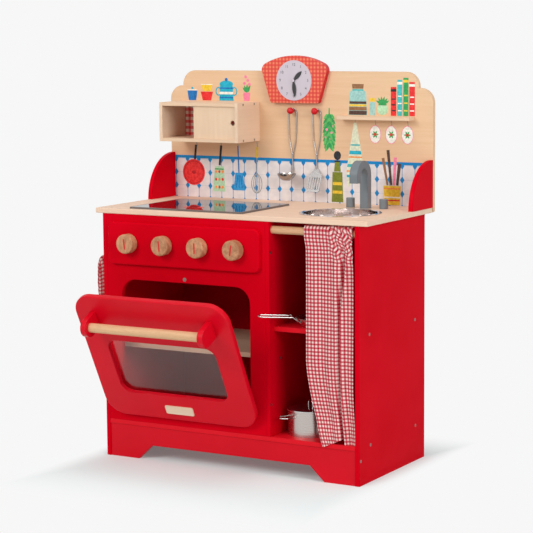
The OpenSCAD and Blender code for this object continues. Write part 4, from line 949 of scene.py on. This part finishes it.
# %% Mitt crown and quilting
SPOKES, RINGS, QUILT = 180, 40, 0.034
points, uvs, faces = [], [], []
for side in (1, -1):
    gone, before = [0.0] * SPOKES, [(0.0, MITT_T / 2)] * SPOKES
    for k in range(RINGS + 1):
        r = math.sin(QUARTER * k / RINGS)
        for i in range(SPOKES):
            a = 360 * i / SPOKES
            e = mitt_edge(a)
            c, s = math.cos(math.radians(a)), math.sin(math.radians(a))
            y, z = r * e * c, r * e * s
            crown = max(0.0, 1 - r ** (5 + 9 * max(0, s))) ** 0.5
            here = (r * e, MITT_T / 2 * crown)
            gone[i] += math.dist(here, before[i])
            before[i] = here
            quilt = min(abs(math.sin(v * math.pi / QUILT)) for v in (y + z, y - z))
            crown *= 0.80 + 0.2 * quilt ** 0.5
            points.append((mid_x - side * MITT_T / 2 * crown, mid_y + y, mid_z + z))
            uvs.append((gone[i] * c, gone[i] * s))
half = (RINGS + 1) * SPOKES
for side in (0, 1):
    for k in range(RINGS):
        for i in range(SPOKES):
            a, b = k * SPOKES + i, k * SPOKES + (i + 1) % SPOKES
            quad = [a, a + SPOKES, b + SPOKES, b]
            faces.append(tuple(side * half + v for v in (quad if side == 0 else quad[::-1])))
print("mitt points:", len(points))

# %% [markdown]
# The two halves meet in a seam and all spokes meet in the middle, so doubled points are merged
# before the faces are turned outwards. The cloth is the curtain's, with a slightly larger check.

# %% Mitt piece
SEAM = 0.00002
mitt_cloth = gingham_cloth("mitt_gingham", 0.0076, (0.38, 0.001, 0.016), (0.74, 0.5, 0.45))
mitt = piece_from("quilted_mitt", points, faces, mitt_cloth, "mitt", uvs)
pick(mitt)
bpy.ops.object.mode_set(mode="EDIT")
bpy.ops.mesh.select_all(action="SELECT")
bpy.ops.mesh.remove_doubles(threshold=SEAM)
bpy.ops.mesh.normals_make_consistent(inside=False)
bpy.ops.object.mode_set(mode="OBJECT")
smooth(mitt, 60)
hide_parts("mitt")
print("mitt faces:", len(mitt.data.polygons))

# %% [markdown]
# The loop is a ring of binding tape over the peg. A curve with a round bevel makes an even
# cord along any path, and it is turned into a mesh once it is right.

# %% Mitt loop
binding, tree, shader, place = finish("binding_tape", Roughness=0.8, Sheen_Weight=0.2)
rib = noise(tree, place, 1800.0)
link(tree, blend(tree, rib, (0.45, 0.006, 0.02, 1), (0.6, 0.012, 0.03, 1)),
     shader.inputs["Base Color"])
bump(tree, shader, rib, 0.0001, 0.5)
LOOP_R, LOOP_STEPS = 0.0011, 40
LOOP_HALF_Y, LOOP_HALF_Z, LOOP_DROP = 0.0078, 0.0088, 0.004
peg_low, peg_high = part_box("mitt_peg")
curve = bpy.data.curves.new("mitt_loop", "CURVE")
curve.dimensions = "3D"
curve.bevel_depth = LOOP_R
curve.bevel_resolution = 2
spline = curve.splines.new("POLY")
spline.points.add(LOOP_STEPS - 1)
spline.use_cyclic_u = True
for i, point in enumerate(spline.points):
    t = math.tau * i / LOOP_STEPS
    point.co = (mid_x, (peg_low[1] + peg_high[1]) / 2 + LOOP_HALF_Y * math.sin(t),
                peg_low[2] - LOOP_DROP + LOOP_HALF_Z * math.cos(t), 1)
mitt_loop = bpy.data.objects.new("mitt_loop", curve)
bpy.context.collection.objects.link(mitt_loop)
pick(mitt_loop)
bpy.ops.object.convert(target="MESH")
mitt_loop = bpy.context.object
mitt_loop.data.materials.clear()
mitt_loop.data.materials.append(binding)
smooth(mitt_loop, 60)
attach(mitt_loop, "mitt")
print("loop faces:", len(mitt_loop.data.polygons))

# %% [markdown]
# ## Gingham lining of the wall cupboard
# Behind the cupboard's open half the backboard shows a larger check. It could be a mask in the
# backboard's material, but a thin sheet set against the board needs no mask and can be moved.

# %% Cupboard lining
LINING_T = 0.0004
low_t, high_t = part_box("cupboard_top")
bottom_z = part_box("cupboard_bottom")[1][2]
fresh()
bpy.ops.mesh.primitive_cube_add(size=1)
lining = bpy.context.object
lining.name = "cupboard_lining"
lining.dimensions = (high_t[0] - low_t[0] - LINING_T, LINING_T, low_t[2] - bottom_z - LINING_T)
lining.location = ((high_t[0] + low_t[0]) / 2, high_t[1] - LINING_T / 2,
                   (low_t[2] + bottom_z) / 2)
bpy.context.view_layer.update()
settle(lining)
material, tree, shader, place = finish("lining_gingham_partly_painted_light", Roughness=0.6)
# The red is the lining's own saturated red, made brighter as painted light for the dim cupboard.
check = use(tree, gingham, Vector=swapped(tree, place), Period=0.0124, Red=(0.74, 0.008, 0.012, 1),
            Cream=(0.92, 0.78, 0.66, 1), Thread=0.0007)
link(tree, check["Color"], shader.inputs["Base Color"])
bump(tree, shader, check["Height"], 0.00003, 0.3)
lining.data.materials.append(material)
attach(lining, "cabinet")
print("lining, mm:", [round(v * 1000, 1) for v in lining.dimensions])

# %% [markdown]
# ## Clock numerals
# The dial carries the numbers 1 to 12 in grey. Text is made a mesh before it is placed, and
# all twelve are joined into one thin piece on the dial.

# %% Numerals
NUMERAL_R, NUMERAL_SIZE, NUMERAL_T = 0.0315, 0.0078, 0.0001
dial_low, dial_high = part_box("clock_dial")
dial_x, dial_z = (dial_low[0] + dial_high[0]) / 2, (dial_low[2] + dial_high[2]) / 2
numeral_ink, tree, shader, place = finish("numeral_ink", Roughness=0.6)
link(tree, blend(tree, noise(tree, place, 500.0), (0.07, 0.07, 0.08, 1), (0.13, 0.13, 0.15, 1)),
     shader.inputs["Base Color"])
marks = []
for hour in range(1, 13):
    a = math.radians(30 * hour)
    spot = (dial_x + NUMERAL_R * math.sin(a), dial_low[1] - NUMERAL_T,
            dial_z + NUMERAL_R * math.cos(a))
    bpy.ops.object.text_add(location=spot, rotation=(QUARTER, 0, 0))
    mark = bpy.context.object
    mark.data.body = str(hour)
    mark.data.size = NUMERAL_SIZE
    mark.data.align_x = "CENTER"
    mark.data.align_y = "CENTER"
    mark.data.extrude = NUMERAL_T
    pick(mark)
    bpy.ops.object.convert(target="MESH")
    marks.append(bpy.context.object)
fresh()
for mark in marks:
    mark.select_set(True)
bpy.context.view_layer.objects.active = marks[0]
bpy.ops.object.join()
numerals = bpy.context.object
numerals.name = "dial_numerals"
numerals.data.materials.clear()
numerals.data.materials.append(numeral_ink)
settle(numerals)
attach(numerals, "cabinet")
print("numerals:", len(marks))

# %% [markdown]
# ## Prints on the backboard
# The board carries plain printed shapes of kitchen things. An image would need a file, so each
# thing is a few flat outlines, in millimetres on the board. All outlines of one ink become one
# thin film, and a later layer lies on an earlier one.

# %% Outlines on the board
FILM = 0.00009
HAIR, HAIRS = 0.06, 13
prints = {}


def outline_count():
    return sum(len(shapes) for shapes in prints.values())


def put(ink, layer, outline):
    """Keeps an outline, a hair further out than the one before, so that no two coincide."""
    height = layer + HAIR * (outline_count() % HAIRS)
    prints.setdefault(ink, []).append((height, outline))


def oval(x, z, rx, rz, steps=28):
    return [(x + rx * math.cos(math.tau * i / steps), z + rz * math.sin(math.tau * i / steps))
            for i in range(steps)]


def box_shape(x, z, w, h, top=None):
    """A block standing at height z, with its own width at the top."""
    top = w if top is None else top
    return [(x - w / 2, z), (x + w / 2, z), (x + top / 2, z + h), (x - top / 2, z + h)]


def stroke(x0, z0, x1, z1, w, end=None):
    """A straight stroke, which may end wider or narrower."""
    end = w if end is None else end
    far = math.hypot(x1 - x0, z1 - z0)
    nx, nz = -(z1 - z0) / far / 2, (x1 - x0) / far / 2
    return [(x0 - nx * w, z0 - nz * w), (x1 - nx * end, z1 - nz * end),
            (x1 + nx * end, z1 + nz * end), (x0 + nx * w, z0 + nz * w)]


def leaf(x, z, angle, long, wide):
    c, s = math.cos(math.radians(angle)), math.sin(math.radians(angle))
    spots = [(0, 0), (0.35, -0.5), (0.7, -0.38), (1, 0), (0.7, 0.38), (0.35, 0.5)]
    return [(x + a * long * c - b * wide * s, z + a * long * s + b * wide * c) for a, b in spots]


def ring(ink, layer, x, z, rx, rz, w, steps=28):
    """A ring made of short blocks."""
    for i in range(steps):
        a, b = math.tau * i / steps, math.tau * (i + 1) / steps
        put(ink, layer, [(x + rx * math.cos(a), z + rz * math.sin(a)),
                         (x + rx * math.cos(b), z + rz * math.sin(b)),
                         (x + (rx - w) * math.cos(b), z + (rz - w) * math.sin(b)),
                         (x + (rx - w) * math.cos(a), z + (rz - w) * math.sin(a))])

# %% [markdown]
# Each group of prints is one function, placed by the middle of each thing and by the height of
# its foot, so a thing can be moved along the board without touching its own shape.


# %% Things on the cupboard: a sugar pot, bowls, a canister and a vase
def flat_block(ink, layer, x, z, w, h, top=None):
    put(ink, layer, box_shape(x, z, w, h, top))


def cupboard_things(sugar_x, bowls_x, canister_x, vase_x, foot_z):
    flat_block("deep_blue", 1, sugar_x, foot_z, 18, 20, 24)
    flat_block("cream", 1, sugar_x, foot_z + 20.4, 24, 1.6)
    put("turquoise", 1, oval(sugar_x, foot_z + 25, 3, 2.4, 12))
    flat_block("red", 1, bowls_x, foot_z, 20, 18, 30)
    flat_block("yellow", 1, bowls_x, foot_z + 19, 18, 15, 28)
    flat_block("cream", 2, bowls_x, foot_z + 32, 28, 1.6)
    flat_block("turquoise", 1, canister_x, foot_z, 34, 34, 30)
    put("turquoise", 2, oval(canister_x, foot_z + 34, 16, 7))
    put("deep_blue", 3, oval(canister_x, foot_z + 43, 3.5, 3.5, 14))
    for up, w in ((5, 33), (24, 31)):
        flat_block("deep_blue", 2, canister_x, foot_z + up, w, 3)
    flat_block("cream", 2, canister_x, foot_z + 13, 32, 5)
    for side in (-1, 1):
        ring("turquoise", 1, canister_x + side * 19, foot_z + 19, 7, 9, 2.5, 20)
    flat_block("pink", 1, vase_x, foot_z, 13, 17, 17)
    for i, turn in enumerate((60, 85, 110, 130, 48)):
        put("green", 1, leaf(vase_x, foot_z + 17, turn, 20 - 2 * i, 5))
    for dx, dz in ((-5, 36), (3, 42), (-2, 49), (7, 34)):
        put("pink", 2, oval(vase_x + dx, foot_z + dz, 3.4, 3.4, 12))


cupboard_things(-247, -212, -165, -117, 695)
print("outlines:", outline_count())


# %% Things over the right shelf: a layered jar, a small jar, a round pot and tins
def shelf_things(jar_x, small_x, pot_x, tins_x, foot_z):
    flat_block("pale_teal", 1, jar_x, foot_z, 42, 44, 36)
    put("pale_teal", 1, oval(jar_x, foot_z + 43, 18, 8))
    flat_block("teal", 2, jar_x, foot_z + 48, 24, 3)
    flat_block("brown", 1, jar_x, foot_z + 52, 24, 9, 26)
    for i, (ink, up, h) in enumerate((("dark_brown", 0.6, 8), ("brown", 9.4, 7),
                                      ("yellow", 17.2, 4), ("dark_brown", 22, 5))):
        flat_block(ink, 2, jar_x, foot_z + up, 39 - 0.6 * i, h)
    flat_block("pale_teal", 1, small_x, foot_z, 12, 26)
    flat_block("yellow", 1, small_x, foot_z + 27, 12, 7, 10)
    put("mint", 1, oval(pot_x, foot_z + 12, 12, 11))
    flat_block("green", 2, pot_x, foot_z + 20, 18, 2.4)
    for turn in (50, 75, 100, 125, 150, 30):
        put("green", 1, leaf(pot_x, foot_z + 21, turn, 17, 5))
    for i, (w, h, ink, cap) in enumerate(((12, 56, "red", "black"), (11, 70, "teal", "cream"),
                                          (11, 74, "green", "yellow"), (12, 66, "red", "cream"))):
        x = tins_x + 13.3 * i
        flat_block(ink, 1, x, foot_z, w, h)
        flat_block(cap, 2, x, foot_z + h - 9, w, 5)
        for k in range(3):
            flat_block(cap, 2, x, foot_z + 9 + k * h / 5, w - 3, 2.4)


shelf_things(137, 169, 191, 215, 671)
print("outlines:", outline_count())


# %% Hung under the shelf: a striped cloth and three round mats
def hung_cloth(x, hook_z):
    put("grey", 1, stroke(x, hook_z + 1, x, hook_z - 7, 1.4))
    put("cloth_cream", 1, [(x - 3, hook_z - 6), (x + 3, hook_z - 6), (x + 19, hook_z - 96),
                           (x + 17, hook_z - 132), (x - 1, hook_z - 121), (x - 18, hook_z - 135),
                           (x - 20, hook_z - 102)])
    for down, half, ink in ((50, 1.5, "teal"), (65, 3.5, "turquoise"), (74, 1.5, "orange"),
                            (91, 3.0, "teal"), (102, 1.5, "orange"), (112, 2.6, "turquoise")):
        left = [x + np.interp(down - d, (6, 102, 135), (-2.6, -19.6, -17.6)) for d in (-half, half)]
        right = [x + np.interp(down - d, (6, 96, 132), (2.6, 18.6, 16.6)) for d in (-half, half)]
        z = hook_z - down
        put(ink, 2, [(left[0], z - half), (right[0], z - half), (right[1], z + half),
                     (left[1], z + half)])


def round_mat(x, z):
    put("grey", 1, stroke(x, z + 28, x + 1.5, z + 18, 1.4))
    put("cream", 1, oval(x, z, 13, 18))
    ring("pink", 2, x, z, 13, 18, 1.2)
    for turn in range(0, 360, 60):
        put("green", 2, leaf(x, z, turn, 8, 3.6))
    put("red", 3, oval(x, z, 3, 3, 12))


hung_cloth(131, 662)
for mat_x in (175, 210, 245):
    round_mat(mat_x, 634)
print("outlines:", outline_count())


# %% Standing on the worktop: a pepper mill and a vase of sticks
def pepper_mill(x, foot_z):
    flat_block("olive", 1, x, foot_z, 26, 60, 22)
    flat_block("olive", 1, x, foot_z + 61, 15, 22, 11)
    put("black", 2, oval(x, foot_z + 93, 8, 9))
    flat_block("yellow", 2, x, foot_z + 17, 22, 6)
    flat_block("yellow", 2, x, foot_z + 34, 21, 6)
    flat_block("black", 2, x, foot_z + 80, 13, 3)


def stick_vase(x, foot_z):
    flat_block("yellow", 1, x, foot_z, 34, 38, 38)
    flat_block("orange", 2, x, foot_z + 31, 36, 3)
    flat_block("red", 2, x, foot_z + 8, 33, 2.5)
    flat_block("cream", 2, x, foot_z + 14, 34, 2.5)
    for dx0, dx1, up, w, ink in ((-10, -20, 92, 6, "brown"), (-2, -9, 108, 6.5, "dark_brown"),
                                 (4, 7, 94, 7, "pink"), (11, 16, 82, 7.5, "dark_brown")):
        put(ink, 1, stroke(x + dx0, foot_z + 39, x + dx1, foot_z + up, w * 0.7, w))


pepper_mill(91, 497)
stick_vase(212, 496)
print("outlines:", outline_count())


# %% A bunch of leaves, and tools hung from the cupboard
def leaf_bunch(x, top_z):
    put("green", 2, stroke(x, top_z, x, top_z - 16, 2.2, 3))
    for i in range(9):
        for side in (-1, 1):
            z = top_z - 12 - 7 * i
            long = 13 + 12 * math.sin(math.pi * (i + 1) / 12)
            put("green" if i % 2 else "leaf", 1, leaf(x, z, 270 + side * (50 - 3 * i), long, 9))
            put("leaf" if i % 2 else "green", 2, leaf(x, z, 270 + side * (26 - i), long * 0.8, 6))
    put("leaf", 1, stroke(x, top_z - 16, x, top_z - 78, 2.6, 1))
    for dx, down in ((-6, 43), (5, 49), (-1, 34), (-8, 58), (6, 36), (0, 62)):
        put("pink", 2, oval(x + dx, top_z - down, 2.6, 2.6, 10))


def hook(x):
    put("grey", 1, stroke(x, 612, x + 2, 601, 1.6))


def red_pan(x):
    hook(x)
    put("black", 2, stroke(x - 1, 603, x - 4, 572, 5))
    put("red", 2, oval(x - 7, 546, 27, 27, 40))
    ring("deep_red", 3, x - 7, 546, 24, 24, 1.6, 40)
    put("deep_red", 3, oval(x - 7, 546, 4, 4, 14))


def grater(x):
    hook(x)
    put("black", 2, stroke(x + 1, 603, x - 3, 562, 5))
    put("mint", 2, [(x - 20, 508), (x + 10, 508), (x + 7, 560), (x - 14, 560)])
    for i in range(9):
        put("red" if i % 2 else "orange", 3,
            oval(x - 12 + 8 * (i % 3), 517 + 16 * (i // 3), 2.6, 3.2, 12))
    flat_block("green", 3, x - 4, 553, 21, 2.5)


def spatula(x):
    hook(x)
    put("deep_blue", 2, stroke(x + 1, 603, x + 3, 548, 2.8))
    flat_block("blue", 2, x + 3.5, 512, 28, 36, 18)
    for dx in (-7.5, 0, 7.5):
        put("deep_blue", 3, stroke(x + 3.5 + dx, 517, x + 3.5 + dx * 0.4, 543, 1.6))


def whisk(x):
    hook(x)
    put("yellow", 2, stroke(x + 1, 602, x, 580, 4.5))
    put("grey", 2, stroke(x, 580, x - 1, 546, 2))
    for rx in (13, 8, 3.5):
        ring("grey", 2, x - 1, 527, rx, 20, 1.5, 28)


leaf_bunch(73, 684)
red_pan(-239)
grater(-180)
spatula(-140)
whisk(-94)
print("outlines:", outline_count())

# %% [markdown]
# Each ink is a matt colour whose tone wanders a little, as print on wood does. The outlines of
# an ink get a face, a back on the board and walls between them.

# %% Inks and films
INKS = {"pink": (0.8, 0.2, 0.32), "green": (0.03, 0.3, 0.08), "leaf": (0.1, 0.42, 0.1),
        "turquoise": (0.005, 0.36, 0.5), "deep_blue": (0.005, 0.14, 0.42), "blue": (0.02, 0.28, 0.6),
        "red": (0.68, 0.02, 0.02), "deep_red": (0.4, 0.005, 0.01), "yellow": (0.76, 0.5, 0.03),
        "orange": (0.78, 0.25, 0.05), "cream": (0.8, 0.76, 0.68), "cloth_cream": (0.66, 0.68, 0.5),
        "teal": (0.05, 0.42, 0.42), "pale_teal": (0.3, 0.52, 0.48), "mint": (0.4, 0.62, 0.4),
        "brown": (0.26, 0.12, 0.05), "dark_brown": (0.07, 0.035, 0.025), "olive": (0.17, 0.2, 0.015),
        "grey": (0.28, 0.29, 0.28), "black": (0.012, 0.014, 0.018)}
for ink, shapes in prints.items():
    material, tree, shader, place = finish(f"print_{ink}", Roughness=0.6, Specular_IOR_Level=0.25)
    tone = remap(tree, noise(tree, place, 260.0, 4.0), 0.35, 0.65, 0.0, 1.0)
    pale = tuple(min(1, v * 1.25 + 0.02) for v in INKS[ink])
    link(tree, blend(tree, tone, (*INKS[ink], 1), (*pale, 1)), shader.inputs["Base Color"])
    vertices, faces = [], []
    for layer, outline in shapes:
        area = sum(a[0] * b[1] - b[0] * a[1] for a, b in zip(outline, outline[1:] + outline[:1]))
        outline = outline if area > 0 else outline[::-1]
        n, start = len(outline), len(vertices)
        for depth in (layer, 0):
            vertices += [(x / 1000, board_front - FILM * depth, z / 1000) for x, z in outline]
        faces.append(tuple(range(start, start + n)))
        faces.append(tuple(range(start + 2 * n - 1, start + n - 1, -1)))
        faces += [(start + i, start + n + i, start + n + (i + 1) % n, start + (i + 1) % n)
                  for i in range(n)]
    film = piece_from(f"print_{ink}", vertices, faces, material, "cabinet")
    if ink == "red":
        red_ink = material
print("inks:", len(prints), "outlines:", outline_count())

# %% [markdown]
# ## Marks on the hob
# Two small red marks lie near the front of the hob. They are thin ovals on the glass, in the
# same red ink as the board's prints.

# %% Two red marks near the front of the hob
MARK_HALF_X, MARK_HALF_Y, SIDES = 0.0054, 0.0095, 24
hob_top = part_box("cooktop")[1][2]
vertices, faces = [], []
for mark_x, mark_f in ((-0.1225, 0.056), (-0.0925, 0.058)):
    start = len(vertices)
    upper = start + SIDES
    for z in (hob_top, hob_top + FILM):
        vertices += [(mark_x + MARK_HALF_X * math.cos(math.tau * i / SIDES),
                      front_y + mark_f + MARK_HALF_Y * math.sin(math.tau * i / SIDES), z)
                     for i in range(SIDES)]
    faces.append(tuple(range(upper - 1, start - 1, -1)))
    faces.append(tuple(range(upper, upper + SIDES)))
    faces += [(start + i, start + (i + 1) % SIDES, upper + (i + 1) % SIDES, upper + i)
              for i in range(SIDES)]
marks_film = piece_from("hob_marks", vertices, faces, red_ink, "cabinet")
print("hob marks:", len(vertices), "points")
